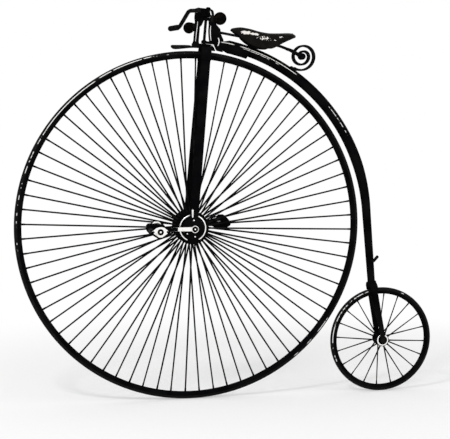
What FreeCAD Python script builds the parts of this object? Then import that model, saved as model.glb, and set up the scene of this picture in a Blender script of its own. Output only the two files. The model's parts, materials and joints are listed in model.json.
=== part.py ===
import FreeCAD, Part
import math
import os
import Sketcher

# A high-wheel bicycle with an open steering head, a solid-tyred 54-inch front wheel
# and a small trailing wheel. Millimetres, +X to the rear wheel, -Y to the rider's left,
# +Z up. The origin is the rider's seat, on top of the saddle.

Vector = FreeCAD.Vector
doc = FreeCAD.newDocument("HighWheelBicycle")

sizes = {
    # front wheel, whose hub is the centre that the other places are given from
    "hub_x": -320, "seat_rise": 72,
    "wheel_radius": 686, "tyre_radius": 11, "rim_depth": 18, "rim_half": 12.5,
    "rim_floor_half": 5,
    "spoke_count": 72, "spoke_radius": 1.5, "spoke_first": 3.3, "spoke_foot": 3,
    "axle_radius": 11, "hub_half": 50, "flange_radius": 65, "flange_wall": 8,
    "barrel_radius": 22, "ring_inner": 48, "ring_outer": 52, "ring_step": 1.5,
    # bearings and cranks
    "case_radius": 43, "case_wall": 22, "case_gap": 5, "case_bevel": 3, "fit_gap": 0.05,
    "crank_throw": 148, "crank_boss": 14, "crank_boss_wall": 24, "crank_gap": 5.5,
    "crank_wall": 10, "crank_root_half": 8, "crank_tip_half": 6.5, "crank_eye": 10,
    # pedals
    "pin_radius": 6, "pedal_gap": 6, "pedal_width": 88, "plate_wall": 3.5,
    "plate_half": 36, "plate_tip": 6, "plate_waist": 13, "plate_height": 22,
    "sleeve_radius": 10, "block_radius": 9.5, "block_place": 27,
    # front fork, given along the steering axis
    "lean": 4.7, "axis_ahead": 6, "blade_dip": 31, "blade_foot": 25,
    "blade_top_half": 19, "blade_foot_half": 17, "blade_top_wall": 16,
    "blade_foot_wall": 14, "blade_spread": 34, "leg_wall": 20, "tyre_gap": 10,
    "crown_wall": 13, "crown_plate": 7, "heel_half": 9, "arm_half": 16, "cup_radius": 10.5, "cup_wall": 7,
    # open head
    "head_open": 112, "head_wall": 30, "nose_drop": 10, "nose_wall": 21, "nose_radius": 14,
    "boss_radius": 19, "cross_radius": 13.5, "head_half": 27, "spindle_radius": 5.5,
    "spindle_seat": 5, "dome_radius": 14, "dome_height": 7,
    # handlebar
    "bar_rise": 16, "bar_radius": 8.5, "bar_knee": 70, "bar_foot": 137, "bar_drop": 39,
    "bar_foot_ahead": 4, "bar_bend": 30, "grip_neck": 12, "grip_ball": 23.5,
    "grip_reach": 97, "ball_out": 323, "ball_drop": 43, "ball_ahead": 14,
    # brake
    "column_ahead": 38, "column_radius": 11, "column_foot": 16, "plunger_radius": 5,
    "plunger_gap": 0.3, "lever_radius": 7.8, "lever_boss": 12, "lever_rise": 21,
    "lever_grip": 11, "lever_reach": 248, "spoon_half": 14, "spoon_gap": 0.5,
    # backbone, an arc round the front hub and then a straight tail
    "bone_gap": 18, "bone_radius": 20.5, "bone_start": 71.5, "bone_taper": 20,
    "bone_leave": 5, "bone_leave_radius": 17.5, "bone_foot_radius": 15,
    "foot_height": 232, "neck_sink": 5.5, "neck_sleeve": 25.5, "neck_taper": 78,
    "neck_tip": 80.5, "neck_tip_radius": 14, "neck_half": 11, "neck_boss": 11,
    "neck_clear": 2, "neck_arm": 10, "neck_round": 4,
    # rear wheel
    "wheel_gap": 22.5, "rear_radius": 213, "rear_spokes": 20,
    "rear_spoke_first": 14, "rear_rim_depth": 15, "rear_axle": 5, "rear_hub_half": 28,
    "rear_flange": 26, "rear_flange_wall": 5, "rear_barrel": 13,
    # rear fork, given along its own rake
    "rear_blade_wall": 9, "rear_blade_half": 12, "rear_foot_half": 10.5,
    "rear_gap": 7, "rear_spread": 30, "rear_blade_dip": 6, "rear_tyre_gap": 8,
    "rear_crown_wall": 14, "rear_crown_half": 14, "rear_socket": 20, "socket_past": 5,
    "rear_eye": 14, "nut_radius": 10, "nut_wall": 7, "rear_stub": 3,
    # step
    "step_rise": 94, "step_radius": 6, "step_out": 78,
    # saddle spring, scroll and saddle
    "leaf_wall": 8, "leaf_half": 13, "leaf_tail_half": 21, "leaf_gap": 1,
    "scroll_rise": 80, "scroll_angle": 56.28, "scroll_half": 13, "scroll_wall": 8,
    "scroll_eye": 13, "eye_bolt": 5, "leather_wall": 5, "clip_half": 13,
    "cantle_x": 324, "cantle_long": 72, "cantle_half": 42, "cantle_wall": 4,
    "cantle_rise": 62, "post_half": 16, "post_long": 12, "nose_x": 183, "nose_long": 14,
    "nose_half": 12,
}

# Sizes that follow from the ones above.
derived = {
    "hub_z": "-1 * (wheel_radius + seat_rise)",
    "blade_top": "wheel_radius - blade_dip",
    "crown_arch": "wheel_radius + tyre_gap",
    "crown_top": "crown_arch + crown_wall",
    "head_base": "crown_top + head_open",
    "nose_base": "head_base - nose_drop",
    "head_roof": "head_base + head_wall",
    "bar_level": "head_base + bar_rise",
    "lever_level": "head_base + lever_rise",
    "bone_line": "wheel_radius + bone_gap + bone_radius",
    "neck_line": "bone_line - neck_sink",
    "rear_drop": "wheel_radius - rear_radius",
    "wheelbase": "sqrt((wheel_radius + rear_radius + wheel_gap)^2 - rear_drop^2)",
    "bone_foot": "foot_height - rear_drop",
    "rear_blade_top": "rear_radius - rear_blade_dip",
    "rear_arch": "rear_radius + rear_tyre_gap",
    "rear_crown_top": "rear_arch + rear_crown_wall",
    "step_height": "bone_foot + step_rise",
    "scroll_x": "(bone_line + scroll_rise) * cos(scroll_angle * 1 deg)",
    "scroll_z": "(bone_line + scroll_rise) * sin(scroll_angle * 1 deg)",
}

sheet = doc.addObject("Spreadsheet::Sheet", "Sizes")
for row, name in enumerate([*sizes, *derived], start=1):
    sheet.set(f"A{row}", name)
    sheet.set(f"B{row}", str(sizes.get(name, 0)))
    sheet.setAlias(f"B{row}", name)
for name, words in derived.items():
    sheet.set(sheet.getCellFromAlias(name), "=" + words)
doc.recompute()


class Size:
    """A number that keeps the words on the sheet that it is worked out from."""

    def __init__(self, number, words):
        self.number = number
        self.words = words

    def __float__(self):
        return self.number

    def __add__(self, other):
        other = sized(other)
        return Size(self.number + other.number, f"({self.words} + {other.words})")

    def __sub__(self, other):
        other = sized(other)
        return Size(self.number - other.number, f"({self.words} - {other.words})")

    def __mul__(self, other):
        other = sized(other)
        return Size(self.number * other.number, f"({self.words} * {other.words})")

    def __truediv__(self, other):
        other = sized(other)
        return Size(self.number / other.number, f"({self.words} / {other.words})")

    def __neg__(self):
        return Size(-self.number, f"(-1 * {self.words})")

    def __radd__(self, other):
        return sized(other) + self

    def __rsub__(self, other):
        return sized(other) - self

    def __rmul__(self, other):
        return sized(other) * self


def sized(value):
    """A Size from a plain number, or the Size itself."""
    if isinstance(value, Size):
        return value
    return Size(float(value), f"({float(value)})")


def cell(name):
    """The Size of one cell of the sheet."""
    return Size(float(getattr(sheet, name)), f"Sizes.{name}")


def turnOf(kind, angle):
    """sin, cos or tan of a Size in degrees."""
    value = getattr(math, kind)(math.radians(float(angle)))
    return Size(value, f"{kind}({angle.words} * 1 deg)")


s = {name: cell(name) for name in [*sizes, *derived]}
pieces = []

# Lengths worked out from the sheet that several pieces share.
rimInner = s["wheel_radius"] - 2 * s["tyre_radius"] - s["rim_depth"] + s["tyre_radius"]
tyreLine = s["wheel_radius"] - s["tyre_radius"]
rearTyreLine = s["rear_radius"] - s["tyre_radius"]
rearRimInner = rearTyreLine - s["rear_rim_depth"]
caseIn = s["hub_half"] + s["ring_step"] + s["case_gap"]
caseOut = caseIn + s["case_wall"]
crankIn = caseOut + s["crank_gap"]
crankOut = crankIn + s["crank_boss_wall"]
armIn = crankIn + (s["crank_boss_wall"] - s["crank_wall"]) / 2
armOut = armIn + s["crank_wall"]
pedalIn = armOut + s["pedal_gap"]
pedalOut = pedalIn + s["pedal_width"]
legLine = s["blade_spread"]
bladeFootLine = caseIn + s["case_wall"] / 2
footX = s["bone_line"] * turnOf("cos", s["bone_leave"]) + (
    s["bone_line"] * turnOf("sin", s["bone_leave"]) - s["bone_foot"]
) * turnOf("tan", s["bone_leave"])
rakeAngle = math.atan2(float(s["wheelbase"] - footX), float(s["rear_drop"] + s["bone_foot"]))
footReach = Size(
    math.hypot(float(s["wheelbase"] - footX), float(s["rear_drop"] + s["bone_foot"])),
    f"hypot({(s['wheelbase'] - footX).words}; {(s['rear_drop'] + s['bone_foot']).words})",
)
rake = Size(
    math.degrees(rakeAngle),
    f"atan({(s['wheelbase'] - footX).words} / {(s['rear_drop'] + s['bone_foot']).words})",
)
rearBladeLine = s["rear_hub_half"] + s["rear_gap"] + s["rear_blade_wall"] / 2
rearBladeOut = rearBladeLine + s["rear_blade_wall"] / 2
neckLow = s["crown_top"] + s["cup_wall"] + 1
neckHigh = s["head_base"] - s["neck_clear"]


def bind(thing, **values):
    """Tie properties of a document object to the sheet."""
    for name, value in values.items():
        thing.setExpression(name.replace("__", "."), sized(value).words)


def place(piece, where):
    """Put a piece in the frame of the hub, the fork, the rear axle or the rear fork.

    The spindle's and the column's frames are the fork's, moved ahead to their own line.
    """
    turn, angle, ahead = {
        "hub": (Vector(0, 1, 0), None, None),
        "turned hub": (Vector(0, 0, 1), sized(180), None),
        "fork": (Vector(0, 1, 0), s["lean"], None),
        "spindle": (Vector(0, 1, 0), s["lean"], s["axis_ahead"]),
        "column": (Vector(0, 1, 0), s["lean"], s["column_ahead"]),
        "rear": (Vector(0, 1, 0), None, None),
        "rear fork": (Vector(0, 1, 0), -rake, None),
    }[where]
    along, up = s["hub_x"], s["hub_z"]
    if ahead is not None:
        along = along - ahead * turnOf("cos", s["lean"])
        up = up + ahead * turnOf("sin", s["lean"])
    if where.startswith("rear"):
        along = along + s["wheelbase"]
        up = up - s["rear_drop"]
    degrees = 0 if angle is None else float(angle)
    piece.Placement = FreeCAD.Placement(Vector(), FreeCAD.Rotation(turn, degrees))
    bind(piece, Placement__Base__x=along, Placement__Base__z=up)
    if angle is not None:
        bind(piece, Placement__Rotation__Angle=angle)


def keep(piece, label, where):
    """Name a finished piece, place it and list it for export."""
    piece.Label = label
    place(piece, where)
    pieces.append(piece)
    return piece


def newBody(name):
    return doc.addObject("PartDesign::Body", name + "_body")


def sketchOn(body, role, shift=None):
    """An empty sketch on one of the body's own origin planes, moved along its normal."""
    sketch = body.newObject("Sketcher::SketchObject", body.Name + "_sketch")
    flat = next(item for item in body.Origin.OriginFeatures if item.Role == role)
    sketch.AttachmentSupport = [(flat, "")]
    sketch.MapMode = "FlatFace"
    if shift is not None:
        bind(sketch, AttachmentOffset__Base__z=shift)
    return sketch


def pin(sketch, geometry, point, across, up):
    """Hold a point of a sketch at a place given from the sketch's origin."""
    for kind, value in (("DistanceX", sized(across)), ("DistanceY", sized(up))):
        rule = Sketcher.Constraint(kind, -1, 1, geometry, point, float(value))
        index = sketch.addConstraint(rule)
        sketch.setExpression(f"Constraints[{index}]", value.words)


def drawCorners(sketch, corners):
    """A closed outline of straight lines through corners given as pairs of sizes."""
    first = sketch.GeometryCount
    spots = [Vector(float(sized(a)), float(sized(b)), 0) for a, b in corners]
    for start, end in zip(spots, spots[1:] + spots[:1]):
        sketch.addGeometry(Part.LineSegment(start, end))
    for index in range(len(spots)):
        following = (index + 1) % len(spots)
        rule = Sketcher.Constraint("Coincident", first + index, 2, first + following, 1)
        sketch.addConstraint(rule)
    for index, (across, up) in enumerate(corners):
        pin(sketch, first + index, 1, across, up)


def drawCircle(sketch, across, up, radius):
    """A circle at a place given from the sketch's origin."""
    spot = Vector(float(sized(across)), float(sized(up)), 0)
    circle = Part.Circle(spot, Vector(0, 0, 1), float(sized(radius)))
    index = sketch.addGeometry(circle)
    pin(sketch, index, 3, across, up)
    rule = sketch.addConstraint(Sketcher.Constraint("Radius", index, float(sized(radius))))
    sketch.setExpression(f"Constraints[{rule}]", sized(radius).words)


def extrude(body, kind, sketch, length, symmetric=False, reverse=False):
    """A Pad or Pocket of a sketch."""
    feature = body.newObject(f"PartDesign::{kind}", body.Name + "_" + kind.lower())
    feature.Profile = sketch
    bind(feature, Length=length)
    if symmetric:
        feature.SideType = "Symmetric"
    feature.Reversed = reverse
    body.Tip = feature
    return feature


def revolve(body, kind, sketch):
    """A full turn of a sketch about its upright axis."""
    feature = body.newObject(f"PartDesign::{kind}", body.Name + "_" + kind.lower())
    feature.Profile = sketch
    feature.ReferenceAxis = (sketch, ["V_Axis"])
    feature.Angle = 360
    body.Tip = feature
    return feature


def roundFaces(body, half, radius):
    """Round the edges of a body's two side faces, half from its middle plane."""
    doc.recompute()
    base = body.Tip
    edges = []
    for index, edge in enumerate(base.Shape.Edges, start=1):
        sides = [point.Point.y for point in edge.Vertexes]
        across = abs(sum(sides)) / len(sides)
        if abs(across - float(half)) < 0.01:
            edges.append(f"Edge{index}")
    fillet = body.newObject("PartDesign::Fillet", body.Name + "_round")
    fillet.Base = (base, edges)
    bind(fillet, Radius=radius)
    body.Tip = fillet


def turned(label, where, role, corners):
    """A piece turned from an outline, about Y on XY_Plane or about Z on XZ_Plane."""
    body = newBody(label)
    sketch = sketchOn(body, role)
    drawCorners(sketch, corners)
    revolve(body, "Revolution", sketch)
    return keep(body, label, where)


def cylinder(name, radius, low, high, along="Z", across=0, up=0):
    """A cylinder from low to high along Y or Z, off its axis by across (X) and up."""
    tube = doc.addObject("Part::Cylinder", name)
    bind(tube, Radius=radius, Height=sized(high) - low)
    if along == "Y":
        tube.Placement.Rotation = FreeCAD.Rotation(Vector(1, 0, 0), -90)
        bind(tube, Placement__Base__x=across, Placement__Base__y=low, Placement__Base__z=up)
    else:
        bind(tube, Placement__Base__x=across, Placement__Base__y=up, Placement__Base__z=low)
    return tube


def box(name, low, high):
    """A block between two corners given as triples of sizes."""
    block = doc.addObject("Part::Box", name)
    for side, axis, start, end in zip(("Length", "Width", "Height"), "xyz", low, high):
        block.setExpression(side, (sized(end) - start).words)
        block.setExpression("Placement.Base." + axis, sized(start).words)
    return block


def fused(name, parts):
    """One solid of several touching objects."""
    whole = doc.addObject("Part::MultiFuse", name)
    whole.Shapes = parts
    return whole


def cut(name, base, tool):
    """One object less another."""
    left = doc.addObject("Part::Cut", name)
    left.Base = base
    left.Tool = tool
    return left


def together(name, parts):
    """Separate solids kept as one piece."""
    group = doc.addObject("Part::Compound", name)
    group.Links = parts
    return group


def feature(name, shape):
    """A shape made in code from the sheet's sizes."""
    thing = doc.addObject("Part::Feature", name)
    thing.Shape = shape
    return thing


# Wheels ------------------------------------------------------------------------------


def tyreCorners(line, first, last):
    """Corners of the tyre's ten-sided section, counted round from its tread."""
    corners = []
    for index in range(first, last + 1):
        angle = 2 * math.pi * index / 10
        corners.append((line + math.cos(angle) * s["tyre_radius"],
                        math.sin(angle) * s["tyre_radius"]))
    return corners


def makeTyre(label, where, line):
    turned(label, where, "XY_Plane", tyreCorners(line, 0, 9))


def makeRim(label, where, line, inner):
    """A crescent rim: a channel that the tyre's inner corners lie in."""
    seat = tyreCorners(line, 3, 7)
    shoulder = inner + (line - inner) / 3
    lip = seat[0][0]
    turned(label, where, "XY_Plane", [
        (inner, -s["rim_floor_half"]),
        (inner, s["rim_floor_half"]),
        (shoulder, s["rim_half"] - 2),
        (lip, s["rim_half"]),
        *seat,
        (lip, -s["rim_half"]),
        (shoulder, 2 - s["rim_half"]),
    ])


def makeSpokes(label, where, count, first, hubRadius, hubLine, rimRadius, rimLine):
    """Straight spokes, by turns to the left and right flange, trimmed to flange and rim."""
    count = int(float(count))
    radius = float(s["spoke_radius"])
    inner = float(hubRadius)
    outer = float(rimRadius)
    spokes = []
    for index in range(count):
        side = -1 if index % 2 else 1
        angle = math.radians(float(first) + 360 * index / count)
        foot = Vector(inner * math.cos(angle), side * float(hubLine), inner * math.sin(angle))
        head = Vector(outer * math.cos(angle), side * float(rimLine), outer * math.sin(angle))
        run = head - foot
        run.normalize()
        start = foot - run * 2 * radius
        length = (head - foot).Length + 4 * radius
        spokes.append(Part.makeCylinder(radius, length, start, run))
    reach = float(s["hub_half"])
    low = Vector(0, -reach, 0)
    zone = Part.makeCylinder(outer, 2 * reach, low, Vector(0, 1, 0))
    zone = zone.cut(Part.makeCylinder(inner, 2 * reach, low, Vector(0, 1, 0)))
    trimmed = [spoke.common(zone).Solids[0] for spoke in spokes]
    keep(feature(label, Part.makeCompound(trimmed)), label, where)


def mirrored(half):
    """An outline's upper half, given outwards from the middle, with its lower mirror image."""
    lower = [(a, -sized(b)) for a, b in half]
    return lower[::-1] + half


def makeFrontHub():
    face = s["hub_half"]
    step = face + s["ring_step"]
    inside = face - s["flange_wall"]
    turned("front_hub", "hub", "XY_Plane", mirrored([
        (s["barrel_radius"], inside - s["barrel_radius"]),
        (s["barrel_radius"] + s["flange_wall"], inside),
        (s["flange_radius"], inside),
        (s["flange_radius"], face),
        (s["ring_outer"], face),
        (s["ring_outer"], step),
        (s["ring_inner"], step),
        (s["ring_inner"], face),
        (s["axle_radius"], face),
    ]))


def makeFrontAxle():
    turned("front_axle", "hub", "XY_Plane", mirrored([
        (s["axle_radius"], sized(10)),
        (s["axle_radius"], crankOut - 1),
        (s["axle_radius"] - 1, crankOut),
        (0, crankOut),
    ]))


def makeCrank(label, where):
    """A boss on the axle's end, a tapering arm and the pin that the pedal turns on."""
    body = newBody(label)
    boss = sketchOn(body, "XZ_Plane", crankIn)
    drawCircle(boss, 0, 0, s["crank_boss"])
    extrude(body, "Pad", boss, s["crank_boss_wall"])
    arm = sketchOn(body, "XZ_Plane", armIn)
    drawCorners(arm, [
        (0, -s["crank_root_half"]),
        (0, s["crank_root_half"]),
        (-s["crank_throw"], s["crank_tip_half"]),
        (-s["crank_throw"], -s["crank_tip_half"]),
    ])
    extrude(body, "Pad", arm, s["crank_wall"])
    eye = sketchOn(body, "XZ_Plane", armIn)
    drawCircle(eye, -s["crank_throw"], 0, s["crank_eye"])
    extrude(body, "Pad", eye, s["crank_wall"])
    stem = sketchOn(body, "XZ_Plane", armIn)
    drawCircle(stem, -s["crank_throw"], 0, s["pin_radius"])
    extrude(body, "Pad", stem, pedalOut - armIn)
    bore = sketchOn(body, "XZ_Plane", crankIn)
    drawCircle(bore, 0, 0, s["axle_radius"])
    extrude(body, "Pocket", bore, s["crank_boss_wall"], reverse=True)
    keep(body, label, where)


def plateCorners():
    """The outline of a pedal's end plate, wide at its waist and narrow at its tips."""
    tip, waist = s["plate_tip"], s["plate_waist"]
    half, high = s["plate_half"], s["plate_height"]
    right = [(waist, -high), (half, -tip), (half, tip), (waist, high)]
    left = [(-a, b) for a, b in right[::-1]]
    return [(a - s["crank_throw"], b) for a, b in right + left]


def makePedalFrame(label, where):
    """Two end plates on a sleeve that is bored to turn on the crank's pin."""
    body = newBody(label)
    for start in (pedalIn, pedalOut - s["plate_wall"]):
        plate = sketchOn(body, "XZ_Plane", start)
        drawCorners(plate, plateCorners())
        extrude(body, "Pad", plate, s["plate_wall"])
        if start is pedalIn:
            sleeve = sketchOn(body, "XZ_Plane", pedalIn)
            drawCircle(sleeve, -s["crank_throw"], 0, s["sleeve_radius"])
            extrude(body, "Pad", sleeve, s["pedal_width"])
    bore = sketchOn(body, "XZ_Plane", pedalIn)
    drawCircle(bore, -s["crank_throw"], 0, s["pin_radius"] + s["fit_gap"])
    extrude(body, "Pocket", bore, s["pedal_width"], reverse=True)
    keep(body, label, where)


def makePedalBlocks(label, where):
    """The two rubber blocks between the end plates."""
    low = -(pedalOut - s["plate_wall"])
    high = -(pedalIn + s["plate_wall"])
    blocks = []
    for side in (-1, 1):
        across = side * s["block_place"] - s["crank_throw"]
        blocks.append(cylinder(label + "_block", s["block_radius"], low, high, "Y", across))
    keep(together(label, blocks), label, where)


# Front fork --------------------------------------------------------------------------


def makeBearing(label, side):
    """A drum on the fork's end that the axle runs in."""
    bore = s["axle_radius"] + s["fit_gap"]
    bevel = s["case_bevel"]
    outline = [
        (bore, caseIn),
        (s["case_radius"], caseIn),
        (s["case_radius"], caseOut - bevel),
        (s["case_radius"] - bevel, caseOut),
        (bore, caseOut),
    ]
    turned(label, "fork", "XY_Plane", [(a, side * b) for a, b in outline])


def ovalRing(half, wall, across, level):
    """A sixteen-sided oval, long way fore and aft."""
    spots = []
    for index in range(16):
        angle = 2 * math.pi * index / 16
        spots.append(Vector(float(half) * math.cos(angle),
                            float(across) + float(wall) / 2 * math.sin(angle), float(level)))
    return Part.makePolygon(spots + spots[:1])


def makeFrontBlade(label, side):
    top = ovalRing(s["blade_top_half"], s["blade_top_wall"], side * legLine, s["blade_top"])
    foot = ovalRing(s["blade_foot_half"], s["blade_foot_wall"], side * bladeFootLine,
                    s["blade_foot"])
    blade = feature(label + "_loft", Part.makeLoft([foot, top], True, True))
    drum = cylinder(label + "_drum", s["case_radius"], -caseOut, caseOut, "Y")
    keep(cut(label, blade, drum), label, "fork")


# the crown's outside from its leg to its top: how far in from the leg's outside and how
# far below the top
crownSteps = [(0, 25), (6, 12), (18, 3), (30, 0)]


# how far behind the hub and below the crown's top the corners of its heel are
crownHeel = [(31, 0), (38, -12), (39.5, -17)]


def makeForkCrown():
    """An arch over the tyre, an arm ahead for the head's column and a heel behind."""
    body = newBody("fork_crown")
    outer = legLine + s["leg_wall"] / 2
    inner = legLine - s["leg_wall"] / 2
    half = [(outer, s["blade_top"])]
    half += [(outer - inward, s["crown_top"] - below) for inward, below in crownSteps]
    under = [
        (inner, s["blade_top"]),
        (inner, s["crown_arch"] - 10),
        (inner - 10, s["crown_arch"]),
    ]
    corners = half + [(-a, b) for a, b in half[::-1]]
    corners += [(-a, b) for a, b in under] + under[::-1]
    arch = sketchOn(body, "YZ_Plane")
    drawCorners(arch, corners)
    extrude(body, "Pad", arch, 2 * s["blade_top_half"], symmetric=True)
    base = s["crown_top"] - s["crown_plate"]
    arm = sketchOn(body, "XY_Plane", base)
    drawCorners(arm, [
        (0, -s["arm_half"]),
        (0, s["arm_half"]),
        (-s["column_ahead"], s["arm_half"]),
        (-s["column_ahead"], -s["arm_half"]),
    ])
    extrude(body, "Pad", arm, s["crown_plate"])
    nose = sketchOn(body, "XY_Plane", base)
    drawCircle(nose, -s["column_ahead"], 0, s["arm_half"])
    extrude(body, "Pad", nose, s["crown_plate"])
    heel = sketchOn(body, "XZ_Plane")
    drawCorners(heel, [
        (0, s["crown_top"]),
        *[(behind, s["crown_top"] + rise) for behind, rise in crownHeel],
        (0, s["crown_top"] + crownHeel[-1][1]),
    ])
    extrude(body, "Pad", heel, 2 * s["heel_half"], symmetric=True)
    seat = sketchOn(body, "XY_Plane", s["crown_top"] - s["spindle_seat"])
    drawCircle(seat, -s["axis_ahead"], 0, s["spindle_radius"] + s["fit_gap"])
    extrude(body, "Pocket", seat, s["spindle_seat"], reverse=True)
    guide = sketchOn(body, "XY_Plane", base)
    drawCircle(guide, -s["column_ahead"], 0, s["plunger_radius"] + s["plunger_gap"])
    extrude(body, "Pocket", guide, s["crown_plate"], reverse=True)
    keep(body, "fork_crown", "fork")


def makeCup():
    """The bearing cup on the crown that the spindle stands in."""
    top = s["crown_top"] + s["cup_wall"]
    bore = s["spindle_radius"] + s["fit_gap"]
    turned("head_cup", "spindle", "XZ_Plane", [
        (bore, s["crown_top"]),
        (s["cup_radius"], s["crown_top"]),
        (s["cup_radius"], top - s["cup_wall"] * 0.7),
        (s["cup_radius"] - 1, top - s["cup_wall"] * 0.35),
        (s["cup_radius"] - 3, top),
        (bore, top),
    ])


def makeHeadTop():
    """The lug over the open head, bored for spindle, handlebar and brake plunger."""
    base, roof = s["head_base"], s["head_roof"]
    noseTop = s["nose_base"] + s["nose_wall"]
    ahead = -s["column_ahead"]
    boss = cylinder("head_boss", s["boss_radius"], base, roof, "Z", -s["axis_ahead"])
    nose = cylinder("head_nose", s["nose_radius"], s["nose_base"], noseTop, "Z", ahead)
    bridge = box("head_bridge", (ahead, 3 - s["nose_radius"], base),
                 (-s["axis_ahead"], s["nose_radius"] - 3, noseTop))
    cross = cylinder("head_cross", s["cross_radius"], -s["head_half"], s["head_half"], "Y",
                     0, s["bar_level"])
    solid = fused("head_solid", [boss, nose, bridge, cross])
    seat = cylinder("head_seat", s["spindle_radius"] + s["fit_gap"], base - s["neck_clear"],
                    base + s["spindle_seat"], "Z", -s["axis_ahead"])
    clamp = cylinder("head_clamp", s["bar_radius"], -2 * s["head_half"], 2 * s["head_half"],
                     "Y", 0, s["bar_level"])
    guide = cylinder("head_guide", s["plunger_radius"] + s["plunger_gap"], s["nose_base"],
                     roof, "Z", ahead)
    keep(cut("head_top", solid, fused("head_bores", [seat, clamp, guide])), "head_top", "fork")


def makeHeadDome():
    roof = s["head_roof"]
    radius = s["dome_radius"]
    turned("head_dome", "fork", "XZ_Plane", [
        (0, roof),
        (radius - 4, roof),
        (radius - 4, roof + s["dome_height"] / 3),
        (radius - 8, roof + s["dome_height"]),
        (0, roof + s["dome_height"]),
    ])


def tubeAlong(points, bends, radius):
    """A round bar on straight runs that are joined by tangent arcs of the given radii."""
    edges = []
    last = points[0]
    for before, corner, after, bend in zip(points, points[1:], points[2:], bends):
        inward = before - corner
        inward.normalize()
        outward = after - corner
        outward.normalize()
        half = inward.getAngle(outward) / 2
        setback = bend / math.tan(half)
        arcStart = corner + inward * setback
        arcEnd = corner + outward * setback
        middle = inward + outward
        middle.normalize()
        arcMiddle = corner + middle * (bend / math.sin(half) - bend)
        edges.append(Part.LineSegment(last, arcStart).toShape())
        edges.append(Part.Arc(arcStart, arcMiddle, arcEnd).toShape())
        last = arcEnd
    edges.append(Part.LineSegment(last, points[-1]).toShape())
    run = points[1] - points[0]
    circle = Part.Wire(Part.makeCircle(radius, points[0], run))
    return Part.Wire(edges).makePipeShell([circle], True, True)


def barKnees():
    """Where the handlebar's right half starts, bends down, bends out again and aims."""
    level = float(s["bar_level"])
    return [
        Vector(0, 0, level),
        Vector(0, float(s["bar_knee"]), level),
        Vector(-float(s["bar_foot_ahead"]), float(s["bar_foot"]), level - float(s["bar_drop"])),
        Vector(-float(s["ball_ahead"]), float(s["ball_out"]), level - float(s["ball_drop"])),
    ]


def makeHandlebar():
    start, knee, foot, ball = barKnees()
    run = (ball - foot).normalize()
    end = ball - run * 20
    bend = float(s["bar_bend"])
    half = tubeAlong([start, knee, foot, end], [bend, bend], float(s["bar_radius"]))
    other = half.mirror(Vector(), Vector(0, 1, 0))
    keep(feature("handlebar", half.fuse(other).removeSplitter()), "handlebar", "fork")


def makeGrip(label, side):
    """A pear-shaped grip on the bar's straight end, bored for the bar."""
    _, _, foot, ball = barKnees()
    run = (ball - foot).normalize()
    reach = float(s["grip_reach"])
    start = ball - run * reach
    neck = float(s["grip_neck"])
    head = float(s["grip_ball"])
    taper = Part.makeCone(neck, head * 0.94, reach - head * 0.34, start, run)
    grip = taper.fuse(Part.makeSphere(head, ball))
    bar = Part.makeCylinder(float(s["bar_radius"]), (ball - foot).Length - 20, foot, run)
    grip = grip.cut(bar).removeSplitter()
    if side < 0:
        grip = grip.mirror(Vector(), Vector(0, 1, 0))
    keep(feature(label, grip), label, "fork")


# Brake -------------------------------------------------------------------------------


def makeHeadColumn():
    """The front bar of the open head, which the brake plunger runs down inside."""
    low, high = s["crown_top"], s["nose_base"]
    bore = s["plunger_radius"] + s["plunger_gap"]
    turned("head_column", "column", "XZ_Plane", [
        (bore, low),
        (s["column_foot"], low),
        (s["column_foot"], low + 3),
        (s["column_foot"] - 3, low + 7),
        (s["column_radius"], low + 16),
        (s["column_radius"], high - 14),
        (s["nose_radius"], high),
        (bore, high),
    ])


# how far ahead of the hub and above the tyre the brake spoon's corners are, from its root
# under the crown's arm forward along its underside and back along its top
spoonLine = [
    (24, 12), (41.5, 11.5), (60, 9), (98, 1.8), (116, -0.9), (125, 0.1), (131, 4), (134.5, 10.3),
    (132, 13.6), (80, 18.4), (62, 19),
]


def makeSpoon():
    body = newBody("brake_spoon")
    under = s["crown_top"] - s["crown_plate"] - s["spoon_gap"]
    side = sketchOn(body, "XZ_Plane")
    corners = [(-ahead, s["wheel_radius"] + rise) for ahead, rise in spoonLine]
    drawCorners(side, [*corners, (-56, under), (-24, under)])
    extrude(body, "Pad", side, 2 * s["spoon_half"], symmetric=True)
    roundFaces(body, s["spoon_half"], 1.5)
    keep(body, "brake_spoon", "fork")


def makePlunger():
    low = s["crown_top"] - s["crown_plate"] - s["spoon_gap"]
    high = s["lever_level"] + s["lever_radius"] + 3
    rod = cylinder("plunger_rod", s["plunger_radius"], low, high, "Z", -s["column_ahead"])
    keep(together("plunger_piece", [rod]), "brake_plunger", "fork")


# how far ahead of the hub, to the right and below the lever's own level its bar bends
leverBends = [(73, 13, 4), (100, 46, 68)]
leverEnd = (104, 64)


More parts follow.
